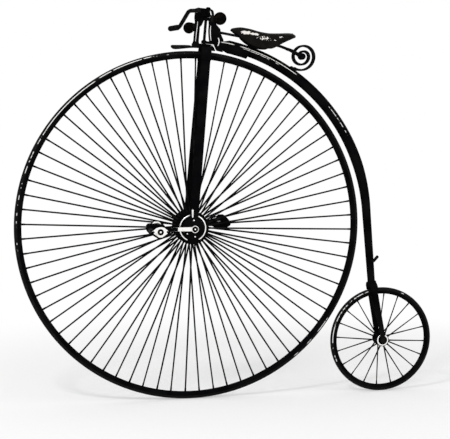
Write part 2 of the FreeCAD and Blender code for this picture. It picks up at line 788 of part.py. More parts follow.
def makeLever():
    """The hand lever: a boss on the plunger and a bent bar with a thick end by the grip."""
    level = float(s["lever_level"])
    ahead = float(s["column_ahead"])
    points = [Vector(-ahead, 0, level)]
    points += [Vector(-x, y, level - drop) for x, y, drop in leverBends]
    end = Vector(-leverEnd[0], float(s["lever_reach"]), level - leverEnd[1])
    run = (end - points[-1]).normalize()
    radius, grip = float(s["lever_radius"]), float(s["lever_grip"])
    start = points[-1] + run * 28
    long = (end - start).Length
    arm = tubeAlong([*points, start + run * (long / 2)], [18, 18], radius)
    boss = Part.makeCylinder(float(s["lever_boss"]), 2 * radius, Vector(-ahead, 0, level - radius))
    rod = Part.makeCylinder(float(s["plunger_radius"]), 4 * radius,
                            Vector(-ahead, 0, level - 2 * radius))
    handle = Part.Face(Part.Wire([
        Part.LineSegment(Vector(), Vector(radius, 0, 0)).toShape(),
        Part.LineSegment(Vector(radius, 0, 0), Vector(grip, 0, 14)).toShape(),
        Part.LineSegment(Vector(grip, 0, 14), Vector(grip, 0, long - grip)).toShape(),
        Part.Arc(Vector(grip, 0, long - grip),
                 Vector(grip * math.sin(math.pi / 4), 0, long - grip + grip * math.cos(math.pi / 4)),
                 Vector(0, 0, long)).toShape(),
        Part.LineSegment(Vector(0, 0, long), Vector()).toShape(),
    ])).revolve(Vector(), Vector(0, 0, 1), 360)
    handle.Placement = FreeCAD.Placement(start, FreeCAD.Rotation(Vector(0, 0, 1), run))
    whole = arm.fuse([boss, handle]).cut(rod).removeSplitter()
    keep(feature("brake_lever", whole), "brake_lever", "fork")


# Frame -------------------------------------------------------------------------------


def onArc(radius, degrees):
    """A place on a circle round the front hub, with the degrees above the +X axis."""
    angle = math.radians(degrees)
    return Vector(radius * math.cos(angle), 0, radius * math.sin(angle))


def arcTube(line, radius, low, high):
    """A round tube bent to an arc round the front hub, between two angles."""
    centre = onArc(line, low)
    face = Part.Face(Part.Wire(Part.makeCircle(radius, centre, Vector(-centre.z, 0, centre.x))))
    return face.revolve(Vector(), Vector(0, -1, 0), high - low)


def ringAt(line, radius, degrees):
    """A circle square to the backbone's arc."""
    centre = onArc(line, degrees)
    return Part.Wire(Part.makeCircle(radius, centre, Vector(-centre.z, 0, centre.x)))


def backboneShape():
    line = float(s["bone_line"])
    wide = float(s["bone_radius"])
    narrow = float(s["bone_leave_radius"])
    start = float(s["bone_start"])
    taper = float(s["bone_taper"])
    leave = float(s["bone_leave"])
    arc = arcTube(line, wide, taper, start)
    steps = 3
    rings = []
    for step in range(steps + 1):
        share = step / steps
        rings.append(ringAt(line, wide + (narrow - wide) * share, taper + (leave - taper) * share))
    slim = Part.makeLoft(rings, True, False)
    top = onArc(line, leave)
    foot = Vector(float(footX), 0, float(s["bone_foot"]))
    tail = Part.makeCone(narrow, float(s["bone_foot_radius"]), (foot - top).Length, top, foot - top)
    return arc.fuse([slim, tail])


def neckShape():
    """The sleeve that the backbone starts in, tapering into the neck forging."""
    line = float(s["neck_line"])
    sleeve = float(s["neck_sleeve"])
    full = float(s["neck_taper"])
    tip = ringAt(line, float(s["neck_tip_radius"]), float(s["neck_tip"]))
    root = ringAt(line, sleeve, full)
    nose = Part.makeLoft([tip, root], True, True)
    return arcTube(line, sleeve, float(s["bone_start"]), full).fuse(nose)


# how far behind the spindle's axis the neck's web is at levels above its low end: its
# underside over the crown, then its back from the backbone's sleeve up
neckUnder = [(40, 0), (46, -12), (53, -23), (76, -26)]
neckBack = [(75, 21), (64, 41), (58.6, 62), (43, 77)]
# the front edge of the web, which closes the window behind the spindle
neckWindow = [(21, 10), (17, 28), (13.8, 51), (13.8, 72)]


def makeNeck():
    """The forging with the spindle ahead of its window and the backbone behind it."""
    body = newBody("neck")
    low, high = neckLow, neckHigh
    arm = s["neck_arm"]
    seatLow = s["crown_top"] - s["spindle_seat"] + 0.5
    seatHigh = s["head_base"] + s["spindle_seat"] - 0.5
    web = sketchOn(body, "XZ_Plane")
    drawCorners(web, [
        (0, low),
        *[(behind, low + rise) for behind, rise in neckUnder + neckBack],
        (24, high),
        (0, high),
        (0, high - arm),
        (12, high - arm - 3),
        *[(behind, low + rise) for behind, rise in neckWindow[::-1]],
        (0, low + arm),
    ])
    extrude(body, "Pad", web, 2 * s["neck_half"], symmetric=True)
    roundFaces(body, s["neck_half"], s["neck_round"])
    spindle = sketchOn(body, "XZ_Plane")
    drawCorners(spindle, [
        (0, seatLow),
        (s["spindle_radius"], seatLow),
        (s["spindle_radius"], low),
        (s["neck_boss"], low),
        (s["neck_boss"], low + arm),
        (s["spindle_radius"], low + arm + 4),
        (s["spindle_radius"], high - arm - 4),
        (s["neck_boss"], high - arm),
        (s["neck_boss"], high),
        (s["spindle_radius"], high),
        (s["spindle_radius"], seatHigh),
        (0, seatHigh),
    ])
    revolve(body, "Revolution", spindle)
    place(body, "spindle")
    sleeve = feature("neck_sleeve_part", neckShape())
    place(sleeve, "hub")
    whole = fused("neck", [body, sleeve])
    whole.Label = "neck"
    pieces.append(whole)
    return whole


def makeBackbone():
    return keep(feature("backbone", backboneShape()), "backbone", "hub")


def makeRearCrown(backbone):
    """An arch over the rear tyre with a socket for the backbone's foot."""
    body = newBody("rear_crown")
    outer = s["rear_spread"] + s["rear_blade_wall"] / 2 + 1
    inner = s["rear_spread"] - s["rear_blade_wall"] / 2 - 1
    arch = sketchOn(body, "YZ_Plane")
    half = [
        (outer, s["rear_blade_top"]),
        (outer, s["rear_arch"] + 4),
        (outer - 9, s["rear_arch"] + 15),
        (s["rear_socket"], s["rear_crown_top"]),
    ]
    under = [
        (inner, s["rear_blade_top"]),
        (inner, s["rear_arch"] - 8),
        (inner - 10, s["rear_arch"]),
    ]
    corners = half + [(-a, b) for a, b in half[::-1]]
    corners += [(-a, b) for a, b in under] + under[::-1]
    drawCorners(arch, corners)
    extrude(body, "Pad", arch, 2 * s["rear_crown_half"], symmetric=True)
    ring = sketchOn(body, "XY_Plane", s["rear_arch"] + 2)
    drawCircle(ring, 0, 0, s["rear_socket"])
    extrude(body, "Pad", ring, footReach + s["socket_past"] - s["rear_arch"] - 2)
    place(body, "rear fork")
    whole = cut("rear_crown", body, backbone)
    whole.Label = "rear_crown"
    pieces.append(whole)


def makeRearBlade(label, side):
    """A slim blade with a round eye on the axle."""
    top = ovalRing(s["rear_blade_half"], s["rear_blade_wall"], side * s["rear_spread"],
                   s["rear_blade_top"])
    foot = ovalRing(s["rear_foot_half"], s["rear_blade_wall"], side * rearBladeLine, 4)
    blade = feature(label + "_loft", Part.makeLoft([foot, top], True, True))
    inner = side * rearBladeLine - s["rear_blade_wall"] / 2
    eye = cylinder(label + "_eye", s["rear_eye"], inner, inner + s["rear_blade_wall"], "Y")
    whole = fused(label + "_solid", [blade, eye])
    axle = cylinder(label + "_axle", s["rear_axle"], -rearBladeOut, rearBladeOut, "Y")
    keep(cut(label, whole, axle), label, "rear fork")


def makeRearAxle():
    out = rearBladeOut
    turned("rear_axle", "rear", "XY_Plane", mirrored([
        (s["rear_axle"], sized(10)),
        (s["rear_axle"], out),
        (s["nut_radius"], out),
        (s["nut_radius"], out + s["nut_wall"]),
        (s["rear_axle"], out + s["nut_wall"]),
        (s["rear_axle"], out + s["nut_wall"] + s["rear_stub"]),
        (0, out + s["nut_wall"] + s["rear_stub"]),
    ]))


def makeRearHub():
    face = s["rear_hub_half"]
    inside = face - s["rear_flange_wall"]
    turned("rear_hub", "rear", "XY_Plane", mirrored([
        (s["rear_barrel"], inside - 4),
        (s["rear_barrel"] + 4, inside),
        (s["rear_flange"], inside),
        (s["rear_flange"], face),
        (s["rear_barrel"], face),
        (s["rear_barrel"] - 2, face + 2),
        (s["rear_axle"] + s["fit_gap"], face + 2),
    ]))


def makeStep(backbone):
    """The mounting step, a bent peg on the backbone's left side."""
    level = float(s["step_height"])
    line = float(footX) - (level - float(s["bone_foot"])) * math.tan(
        math.radians(float(s["bone_leave"])))
    out = float(s["step_out"])
    points = [
        Vector(line, -8, level - 3),
        Vector(line + 4, -38, level),
        Vector(line + 6, -out, level + 22),
    ]
    peg = tubeAlong(points, [30], float(s["step_radius"]))
    keep(feature("step", peg.cut(backboneShape())), "step", "hub")


# Saddle ------------------------------------------------------------------------------


def stripFace(points, wall):
    """A strip of even thickness along a line of points, mitred at its corners."""
    above, below = [], []
    last = len(points) - 1
    for index, spot in enumerate(points):
        runs = []
        if index > 0:
            runs.append((spot - points[index - 1]).normalize())
        if index < last:
            runs.append((points[index + 1] - spot).normalize())
        along = (runs[0] + runs[-1]).normalize()
        normal = Vector(-along.z, 0, along.x)
        stretch = 1 / math.cos(along.getAngle(runs[0]))
        above.append(spot + normal * (wall / 2 * stretch))
        below.append(spot - normal * (wall / 2 * stretch))
    corners = above + below[::-1]
    return Part.Face(Part.makePolygon(corners + corners[:1]))


# x of the saddle spring's leaf and its height above the tyre, from the neck to where it
# forks round the scroll
leafLine = [(110, 73.3), (193, 59), (361, 21.6), (404, 6)]


def widened(face, half):
    """A face in the middle plane thickened evenly to both sides."""
    face.translate(Vector(0, -half, 0))
    return face.extrude(Vector(0, 2 * half, 0))


def leafShape(neck):
    wall = float(s["leaf_wall"])
    eye = Vector(float(s["scroll_x"]), 0, float(s["scroll_z"]))
    points = [Vector(x, 0, float(s["wheel_radius"]) + rise) for x, rise in leafLine]
    leaf = widened(stripFace(points, wall), float(s["leaf_half"]))
    tail = widened(stripFace([points[-1] + (points[-2] - points[-1]) * 0.4, points[-1], eye], wall),
                   float(s["leaf_tail_half"]))
    wide = 2 * float(s["leaf_tail_half"])
    lug = Part.makeCylinder(wall + 2, wide, eye - Vector(0, wide / 2, 0), Vector(0, 1, 0))
    slotHalf = float(s["scroll_half"] + s["leaf_gap"])
    slot = Part.makeBox(100, 2 * slotHalf, 100, Vector(points[-1].x, -slotHalf, eye.z - 50))
    tail = tail.fuse(lug).cut(slot)
    bolt = Part.makeCylinder(float(s["eye_bolt"]), wide, eye - Vector(0, wide / 2, 0),
                             Vector(0, 1, 0))
    front = neck.Shape.copy()
    front.translate(Vector(-float(s["hub_x"]), 0, -float(s["hub_z"])))
    return leaf.fuse(tail).cut(bolt).cut(front).removeSplitter()


# angle that the scroll's outer end stops at, and half widths where it crosses the
# level of its eye, from the inside out and by turns left and right
scrollEnd = 238
scrollReach = (13, 28, 35, 49, 57)


def scrollArcs():
    """Half circles that grow outwards and so make the scroll."""
    centre = Vector(float(s["scroll_x"]), 0, float(s["scroll_z"]))
    arcs = []
    side = -1
    for near, far in zip(scrollReach, scrollReach[1:]):
        radius = (near + far) / 2
        middle = centre + Vector(side * (near - far) / 2, 0, 0)
        arcs.append((middle, radius, side))
        side = -side
    return arcs


def arcEdge(middle, radius, start, end):
    """An arc in the XZ plane between two angles in degrees."""
    spots = []
    for degrees in (start, (start + end) / 2, end):
        angle = math.radians(degrees)
        spots.append(middle + Vector(radius * math.cos(angle), 0, radius * math.sin(angle)))
    return Part.Arc(*spots).toShape(), spots[0], spots[-1]


def scrollShape():
    wall = float(s["scroll_wall"])
    solid = None
    spans = {-1: (180, 0), 1: (360, 180)}
    for index in range(len(scrollReach) - 1):
        middle, radius, side = scrollArcs()[index]
        start, end = spans[side]
        if index == len(scrollReach) - 2:
            end = scrollEnd
        outer, a, b = arcEdge(middle, radius + wall / 2, start, end)
        inner, c, d = arcEdge(middle, radius - wall / 2, start, end)
        edges = [outer, Part.LineSegment(b, d).toShape(), inner, Part.LineSegment(c, a).toShape()]
        turn = widened(Part.Face(Part.Wire(Part.__sortEdges__(edges))), float(s["scroll_half"]))
        solid = turn if solid is None else solid.fuse(turn)
    centre = Vector(float(s["scroll_x"]), -float(s["scroll_half"]), float(s["scroll_z"]))
    wide = 2 * float(s["scroll_half"])
    eye = Part.makeCylinder(float(s["scroll_eye"]), wide, centre, Vector(0, 1, 0))
    hole = Part.makeCylinder(float(s["eye_bolt"]), wide, centre, Vector(0, 1, 0))
    return solid.fuse(eye).cut(hole).removeSplitter()


def makeClip():
    """The block that seats the scroll's outer end on the backbone."""
    middle, radius, _ = scrollArcs()[-1]
    angle = math.radians(scrollEnd)
    end = middle + Vector(radius * math.cos(angle), 0, radius * math.sin(angle))
    half = float(s["clip_half"])
    line = float(s["bone_line"])
    out = end.Length
    block = Part.makeBox(out - line, 2 * half, 2 * half, Vector(line, -half, -half))
    block.rotate(Vector(), Vector(0, 1, 0), -math.degrees(math.atan2(end.z, end.x)))
    block = block.cut(backboneShape()).cut(scrollShape())
    solid = max(block.Solids, key=lambda part: part.Volume)
    keep(feature("scroll_clip", solid), "scroll_clip", "hub")


# x, height above the tyre, half width and the flap's lower edge above the tyre of the
# leather along the saddle
leatherRows = [
    (160, 89, 11, 83),
    (194, 94, 21, 60),
    (208, 93, 26, 44),
    (236, 88, 35, 25),
    (270, 78.5, 45, 13.5),
    (302, 73, 54, 10.5),
    (320, 72, 58, 14),
    (355, 72.5, 67, 34),
    (385, 73.5, 72, 48),
    (403, 71.5, 58, 55),
    (411, 66, 34, 58),
]


def leatherShape():
    """A folded hide: a crowned top with a flap down each side."""
    wall = float(s["leather_wall"])
    wires = []
    ground = float(s["wheel_radius"])
    for x, rise, half, low in leatherRows:
        top, edge = ground + rise, ground + low
        bend = min(18, (top - edge) * 0.5)
        outer = [(half, edge), (half * 0.97, top - bend), (half * 0.72, top - 4), (0, top)]
        inner = [(0, top - wall), (half * 0.72 - wall / 2, top - 4 - wall),
                 (half * 0.97 - wall, top - bend - wall / 2), (half - wall, edge)]
        ring = outer + [(-y, z) for y, z in outer[-2::-1]]
        ring += [(-y, z) for y, z in inner[::-1]] + inner[1:]
        spots = [Vector(x, y, z) for y, z in ring]
        wires.append(Part.makePolygon(spots + spots[:1]))
    return Part.makeLoft(wires, True, True)


def makeSaddle(leaf):
    """The leather, the plate and post under its back and the block under its nose."""
    leather = leatherShape()
    keep(feature("saddle_leather", leather), "saddle_leather", "hub")
    half, post = float(s["cantle_half"]), float(s["post_half"])
    wall = float(s["cantle_wall"])
    start = float(s["cantle_x"])
    level = float(s["wheel_radius"] + s["cantle_rise"])
    plate = Part.makeBox(float(s["cantle_long"]), 2 * half, wall + 1,
                         Vector(start, -half, level - wall))
    prop = Part.makeBox(float(s["post_long"]), 2 * post, 42, Vector(start, -post, level - 40))
    cantle = plate.fuse(prop).cut(leather).cut(leaf)
    solid = max(cantle.Solids, key=lambda part: part.BoundBox.ZMax)
    keep(feature("saddle_cantle", solid), "saddle_cantle", "hub")
    half = float(s["nose_half"])
    block = Part.makeBox(float(s["nose_long"]), 2 * half, 50,
                         Vector(float(s["nose_x"]), -half, level - 20))
    between = [part for part in block.cut(leather).cut(leaf).Solids
               if level - 3 < part.CenterOfMass.z < level + 27]
    keep(feature("saddle_nose_clip", between[0]), "saddle_nose_clip", "hub")


def makeSaddleSpring(neck):
    leaf = leafShape(neck)
    keep(feature("saddle_spring", leaf), "saddle_spring", "hub")
    keep(feature("saddle_scroll", scrollShape()), "saddle_scroll", "hub")
    bolt = cylinder("scroll_bolt_rod", s["eye_bolt"], -s["leaf_tail_half"] - 4,
                    s["leaf_tail_half"] + 4, "Y", s["scroll_x"], s["scroll_z"])
    keep(together("scroll_bolt_piece", [bolt]), "scroll_bolt", "hub")
    makeClip()
    makeSaddle(leaf)


# Assembly ----------------------------------------------------------------------------

makeTyre("front_tyre", "hub", tyreLine)
makeRim("front_rim", "hub", tyreLine, rimInner)
makeSpokes("front_spokes", "hub", s["spoke_count"], s["spoke_first"], s["flange_radius"],
           s["hub_half"] - s["flange_wall"] / 2, rimInner, s["spoke_foot"])
makeFrontHub()
makeFrontAxle()
makeTyre("rear_tyre", "rear", rearTyreLine)
makeRim("rear_rim", "rear", rearTyreLine, rearRimInner)
makeSpokes("rear_spokes", "rear", s["rear_spokes"], s["rear_spoke_first"], s["rear_flange"],
           s["rear_hub_half"] - s["rear_flange_wall"] / 2, rearRimInner, s["spoke_foot"])
makeRearHub()
makeRearAxle()
for side, name, where in ((-1, "left", "hub"), (1, "right", "turned hub")):
    makeCrank("crank_" + name, where)
    makePedalFrame("pedal_" + name, where)
    makePedalBlocks("pedal_" + name + "_blocks", where)
    makeBearing("bearing_" + name, side)
    makeFrontBlade("fork_blade_" + name, side)
    makeGrip("grip_" + name, side)
    makeRearBlade("rear_blade_" + name, side)
makeForkCrown()
makeCup()
makeHeadColumn()
makeHeadTop()
makeHeadDome()
makeHandlebar()
makeSpoon()
makePlunger()
makeLever()
neck = makeNeck()
backbone = makeBackbone()
doc.recompute()
makeRearCrown(backbone)
makeStep(backbone)
makeSaddleSpring(neck)
doc.recompute()

for item in doc.Objects:
    if "Invalid" in item.State or "Error" in item.State:
        raise RuntimeError(f"{item.Label} did not compute: {item.State}")
for piece in pieces:
    if piece.Shape.isNull() or not piece.Shape.isValid() or not piece.Shape.Solids:
        raise RuntimeError(f"{piece.Label} has no valid shape")

os.makedirs("parts", exist_ok=True)
for piece in pieces:
    piece.Shape.exportStep(f"parts/{piece.Label}.step")
    box = piece.Shape.BoundBox
    print(f"{piece.Label:20s} {len(piece.Shape.Solids):3d} solids {piece.Shape.Volume / 1000:9.1f} cm3"
          f"  x {box.XMin:8.1f} {box.XMax:8.1f}  y {box.YMin:7.1f} {box.YMax:7.1f}"
          f"  z {box.ZMin:8.1f} {box.ZMax:8.1f}")
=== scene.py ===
import bpy
import bmesh
import json
import math
from mathutils import Matrix, Vector


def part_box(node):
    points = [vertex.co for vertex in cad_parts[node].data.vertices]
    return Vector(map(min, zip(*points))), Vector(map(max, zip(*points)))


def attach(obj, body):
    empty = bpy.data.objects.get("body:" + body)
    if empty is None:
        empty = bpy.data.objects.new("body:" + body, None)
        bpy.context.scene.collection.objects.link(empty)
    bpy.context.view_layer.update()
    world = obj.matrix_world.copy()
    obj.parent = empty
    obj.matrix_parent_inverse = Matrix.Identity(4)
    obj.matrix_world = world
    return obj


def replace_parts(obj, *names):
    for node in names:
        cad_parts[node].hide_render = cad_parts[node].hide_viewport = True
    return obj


# High-wheel bicycle: finishes, smooth wheels and blades, the leather saddle and small parts.
# Metres in the frame, millimetres in the dictionaries. +X to the trailing wheel, -Y to the
# rider's left, +Z up.

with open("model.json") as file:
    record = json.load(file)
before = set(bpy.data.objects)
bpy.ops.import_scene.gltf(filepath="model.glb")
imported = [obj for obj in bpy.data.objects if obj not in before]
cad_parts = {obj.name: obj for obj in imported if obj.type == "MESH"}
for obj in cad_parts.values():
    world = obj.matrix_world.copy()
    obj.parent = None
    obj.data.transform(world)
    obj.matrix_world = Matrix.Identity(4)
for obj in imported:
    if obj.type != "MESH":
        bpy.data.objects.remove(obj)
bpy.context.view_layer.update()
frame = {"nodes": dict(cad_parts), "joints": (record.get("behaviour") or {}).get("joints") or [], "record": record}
nodes = frame["nodes"]
print("frame loaded:", len(nodes), "nodes")


def middle(node):
    # the middle of a node's box in the frame
    low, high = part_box(node)
    return (low + high) / 2


def spot(x, y, z):
    return Matrix.Translation(Vector((x, y, z)) / 1000)


def outward(side):
    # turns local Z to point to the left (-1) or right (1) side
    return Matrix.Rotation(math.radians(-90 * side), 4, "X")


hub = middle("front_axle")
rearHub = middle("rear_axle")
steering = next(joint for joint in frame["joints"] if joint["name"] == "steering")
lean = math.atan2(steering["axis"][0], steering["axis"][2])
rake = math.radians(-10.379)  # the trailing fork's blades
hubFrame = Matrix.Translation(hub)
rearFrame = Matrix.Translation(rearHub)
forkFrame = hubFrame @ Matrix.Rotation(lean, 4, "Y")
rearForkFrame = rearFrame @ Matrix.Rotation(rake, 4, "Y")
sides = {"left": -1, "right": 1}


class Wire:
    # a shader socket that does sums
    def __init__(self, recipe, socket):
        self.recipe = recipe
        self.socket = socket

    def sum(self, operation, first, second):
        return self.recipe.sum(operation, first, second)

    def __add__(self, other):
        return self.sum("ADD", self, other)

    def __radd__(self, other):
        return self.sum("ADD", other, self)

    def __sub__(self, other):
        return self.sum("SUBTRACT", self, other)

    def __rsub__(self, other):
        return self.sum("SUBTRACT", other, self)

    def __mul__(self, other):
        return self.sum("MULTIPLY", self, other)

    def __rmul__(self, other):
        return self.sum("MULTIPLY", other, self)

    def __truediv__(self, other):
        return self.sum("DIVIDE", self, other)

    def size(self):
        return self.sum("ABSOLUTE", self, 0)

    def most(self, other):
        return self.sum("MAXIMUM", self, other)

    def rise(self, low, high):
        # 0 below low, 1 above high and smooth between
        return self.recipe.node("ShaderNodeMapRange", {"interpolation_type": "SMOOTHSTEP"},
                                {"Value": self, "From Min": low, "From Max": high})

    def between(self, start, end):
        return self.recipe.node("ShaderNodeMapRange", {},
                                {"Value": self, "To Min": start, "To Max": end})

    def blend(self, first, second):
        # colour first where this is 0, second where it is 1
        ends = [end if isinstance(end, Wire) else (*end, 1) for end in (first, second)]
        return self.recipe.node("ShaderNodeMix", {"data_type": "RGBA"},
                                {"Factor": self, 6: ends[0], 7: ends[1]}, 2)


class Recipe:
    # one material's nodes
    def __init__(self, name, **fixed):
        self.material = bpy.data.materials.new(name)
        self.material.use_nodes = True
        self.tree = self.material.node_tree
        self.shader = self.tree.nodes["Principled BSDF"]
        for socket, value in fixed.items():
            self.shader.inputs[socket.replace("_", " ")].default_value = value

    def node(self, kind, settings, inputs, output=0):
        made = self.tree.nodes.new(kind)
        for name, value in settings.items():
            setattr(made, name, value)
        pairs = inputs.items() if isinstance(inputs, dict) else enumerate(inputs)
        for name, value in pairs:
            if isinstance(value, Wire):
                self.tree.links.new(value.socket, made.inputs[name])
            else:
                made.inputs[name].default_value = value
        return Wire(self, made.outputs[output])

    def place(self, stretch=(1, 1, 1)):
        where = self.node("ShaderNodeTexCoord", {}, {}, "Object")
        return self.node("ShaderNodeMapping", {}, {"Vector": where, "Scale": stretch})

    def along(self, axis):
        return self.node("ShaderNodeSeparateXYZ", {}, [self.place()], axis)

    def noise(self, scale, detail, rough=0.5, stretch=(1, 1, 1)):
        return self.node("ShaderNodeTexNoise", {}, {
            "Vector": self.place(stretch), "Scale": scale, "Detail": detail,
            "Roughness": rough}, "Fac")

    def cells(self, scale):
        return self.node("ShaderNodeTexVoronoi", {}, {
            "Vector": self.place(), "Scale": scale}, "Distance")

    def strokes(self, centre, rows, ragged):
        # broken pale arcs about a centre, painted into the colour as highlights: radius, half width, first and
        # last angle, how whole
        across = self.along("X") * 1000 - centre.x * 1000
        up = self.along("Z") * 1000 - centre.z * 1000
        away = self.sum("SQRT", across * across + up * up, 0)
        turn = self.sum("ARCTAN2", up * -1, across * -1) * math.degrees(1) + 180
        shown = None
        for radius, half, low, high, whole in rows:
            near = (1 - ((away - radius) / half).size()).rise(0, 0.5)
            span = turn.rise(low, low + 1) * (1 - turn.rise(high - 1, high))
            stroke = near * span * (whole + (ragged - 0.5) * 2.4).rise(0.35, 0.55)
            shown = stroke if shown is None else shown.most(stroke)
        return shown

    def sum(self, operation, first, second):
        return self.node("ShaderNodeMath", {"operation": operation}, [first, second])

    def bump(self, height, strength, depth):
        normal = self.node("ShaderNodeBump", {}, {
            "Height": height, "Strength": strength, "Distance": depth / 1000})
        self.feed("Normal", normal)

    def feed(self, name, wire):
        self.tree.links.new(wire.socket, self.shader.inputs[name])
        return self.material


# painted highlight lines on the enamel along the backbone, where the lamp's shine would run: radius from
# the front hub, half width, first and last angle and how whole each stroke is
enamelLook = {
    "deep": (0.0022, 0.0022, 0.0026), "cloudy": (0.0055, 0.0055, 0.006),
    "paintedHighlight": (0.8, 0.79, 0.76),
    "strokes": [(728.5, 1.5, 29, 42, 0.42), (731, 1.7, 54.5, 75, 0.66), (725.5, 1.1, 61, 74, 0.5),
                (731, 2.1, 76.3, 81, 0.85)],
}


def makeEnamel():
    recipe = Recipe("stoveEnamel", Specular_IOR_Level=0.0)
    cloud = recipe.noise(14, 4)
    recipe.bump(recipe.noise(700, 2) + recipe.noise(120, 2), 0.05, 0.3)
    recipe.feed("Roughness", cloud.between(0.1, 0.22))
    ground = cloud.rise(0.35, 0.75).blend(enamelLook["deep"], enamelLook["cloudy"])
    # pale arcs painted into the enamel as highlights along the backbone
    paintedHighlight = recipe.strokes(hub, enamelLook["strokes"], recipe.noise(60, 2))
    return recipe.feed("Base Color", paintedHighlight.blend(ground, enamelLook["paintedHighlight"]))


steelLook = {"dark": (0.003, 0.003, 0.0034), "light": (0.012, 0.0115, 0.011)}


def makeSteel():
    recipe = Recipe("darkSteel", Specular_IOR_Level=0.0)
    stain = recipe.noise(40, 5)
    recipe.bump(recipe.noise(300, 2, stretch=(1, 14, 1)), 0.06, 0.2)
    recipe.feed("Roughness", stain.between(0.3, 0.42))
    return recipe.feed("Base Color", stain.rise(0.35, 0.7).blend(
        steelLook["dark"], steelLook["light"]))


springLook = {"dark": (0.003, 0.0034, 0.005), "light": (0.012, 0.0105, 0.0105)}


def makeSpringSteel():
    recipe = Recipe("bluedSpringSteel", Specular_IOR_Level=0.0)
    heat = recipe.noise(11, 3)
    grind = recipe.noise(260, 2, stretch=(1, 20, 1))
    recipe.bump(grind, 0.15, 0.3)
    recipe.feed("Roughness", grind.between(0.16, 0.3))
    return recipe.feed("Base Color", heat.rise(0.3, 0.75).blend(
        springLook["dark"], springLook["light"]))


nickelLook = {"tarnished": (0.6, 0.57, 0.52), "bright": (0.96, 0.95, 0.93)}


def makeNickel():
    recipe = Recipe("nickelPlate", Metallic=1.0)
    tarnish = recipe.noise(45, 5, 0.6)
    recipe.bump(recipe.noise(1400, 2), 0.06, 0.2)
    recipe.feed("Roughness", tarnish.between(0.34, 0.14))
    return recipe.feed("Base Color", tarnish.rise(0.2, 0.45).blend(
        nickelLook["tarnished"], nickelLook["bright"]))


# painted highlights: broken pale arcs on the walls of the two tyres, where the shine would run
tyreLook = {
    "dark": (0.003, 0.003, 0.003), "light": (0.011, 0.0105, 0.01), "paintedShine": (0.8, 0.79, 0.77),
    "front": [(677, 1.4, 91, 102, 0.2), (679.5, 1.8, 102, 122, 0.75), (677.5, 1.9, 123, 146, 0.9),
              (677, 1.6, 145, 164, 0.5), (677, 1.5, 163, 189, 0.3), (677.5, 1.5, 308.5, 311, 0.7),
              (677.5, 1.5, 314.5, 317.5, 0.6), (677.5, 1.7, 320, 326.5, 0.8)],
    "rear": [(205.5, 1.8, 106, 126, 0.7), (205.5, 1.7, 127, 163, 0.45),
             (205.5, 1.8, 162, 183, 0.75), (205.5, 1.7, 182, 205, 0.45),
             (206, 1.5, 62.5, 66.5, 0.7)],
}


def makeTyreRubber():
    recipe = Recipe("solidTyreRubber", Specular_IOR_Level=0.08, IOR=1.4)
    scuff = recipe.noise(60, 5, 0.6)
    recipe.bump(recipe.noise(1100, 2) + scuff, 0.2, 0.6)
    recipe.feed("Roughness", scuff.between(0.4, 0.7))
    ground = scuff.rise(0.45, 0.85).blend(tyreLook["dark"], tyreLook["light"])
    ragged = recipe.noise(70, 2)
    # pale arcs painted into the rubber's colour as highlights on both tyres
    paintedShine = recipe.strokes(hub, tyreLook["front"], ragged).most(
        recipe.strokes(rearHub, tyreLook["rear"], ragged))
    return recipe.feed("Base Color", paintedShine.blend(ground, tyreLook["paintedShine"]))


blockLook = {"dark": (0.004, 0.004, 0.004), "worn": (0.05, 0.048, 0.045)}


def makeBlockRubber():
    recipe = Recipe("pedalRubber", Specular_IOR_Level=0.12, IOR=1.4)
    scuff = recipe.noise(140, 4, 0.6)
    recipe.bump(recipe.noise(900, 2), 0.25, 0.5)
    recipe.feed("Roughness", scuff.between(0.5, 0.75))
    return recipe.feed("Base Color", scuff.rise(0.55, 0.75).blend(
        blockLook["dark"], blockLook["worn"]))


# pale patches painted on the hide as highlights: their middles and half sizes in x and z from the front
# hub, their slope, how strong they are and how ragged
leatherLook = {
    "dark": (0.003, 0.0026, 0.0023), "light": (0.009, 0.0078, 0.0066),
    "paintedGleam": (0.78, 0.75, 0.71),
    "highlightPatches": [(215, 759, 23, 8.5, -0.05, 0.7, 2.2), (246, 753, 26, 5.5, -0.16, 0.62, 2.2),
               (284, 737, 36, 14, -0.1, 0.2, 3.2),
               (346, 741, 15, 5, 0.1, 0.3, 2.2), (322, 729, 8, 5, 0, 0.3, 2.4)],
}


def makeLeather():
    recipe = Recipe("saddleLeather", Specular_IOR_Level=0.06, IOR=1.4)
    crease = recipe.noise(26, 5, 0.6)
    ragged = recipe.noise(130, 4, 0.55, (1, 1, 1.6))
    across = recipe.along("X") * 1000
    up = recipe.along("Z") * 1000
    paintedGleam = None
    # each patch is a highlight painted on the leather
    for x, z, long, high, slope, much, torn in leatherLook["highlightPatches"]:
        awayX = across - (hub.x * 1000 + x)
        awayZ = (up - (hub.z * 1000 + z) - awayX * slope) / high
        awayX = awayX / long
        away = awayX * awayX + awayZ * awayZ
        patch = (much - away + (ragged - 0.5) * torn).rise(0.0, 0.16) * (1.2 - away).rise(0, 0.3)
        paintedGleam = patch if paintedGleam is None else paintedGleam.most(patch)
    recipe.bump(recipe.cells(420) * 0.6 + recipe.noise(900, 3) * 0.4 + crease * 1.5, 0.35, 1.1)
    recipe.feed("Roughness", crease.between(0.3, 0.55))
    dyed = crease.rise(0.35, 0.75).blend(leatherLook["dark"], leatherLook["light"])
    return recipe.feed("Base Color", paintedGleam.blend(dyed, leatherLook["paintedGleam"]))


hornLook = {"dark": (0.002, 0.0018, 0.0018), "light": (0.014, 0.010, 0.008)}


def makeHorn():
    recipe = Recipe("polishedHorn", Specular_IOR_Level=0.0)
    streak = recipe.noise(120, 5, 0.6, (1, 0.25, 1))
    recipe.bump(recipe.noise(500, 2), 0.08, 0.3)
    recipe.feed("Roughness", streak.between(0.2, 0.32))
    return recipe.feed("Base Color", streak.rise(0.45, 0.8).blend(
        hornLook["dark"], hornLook["light"]))


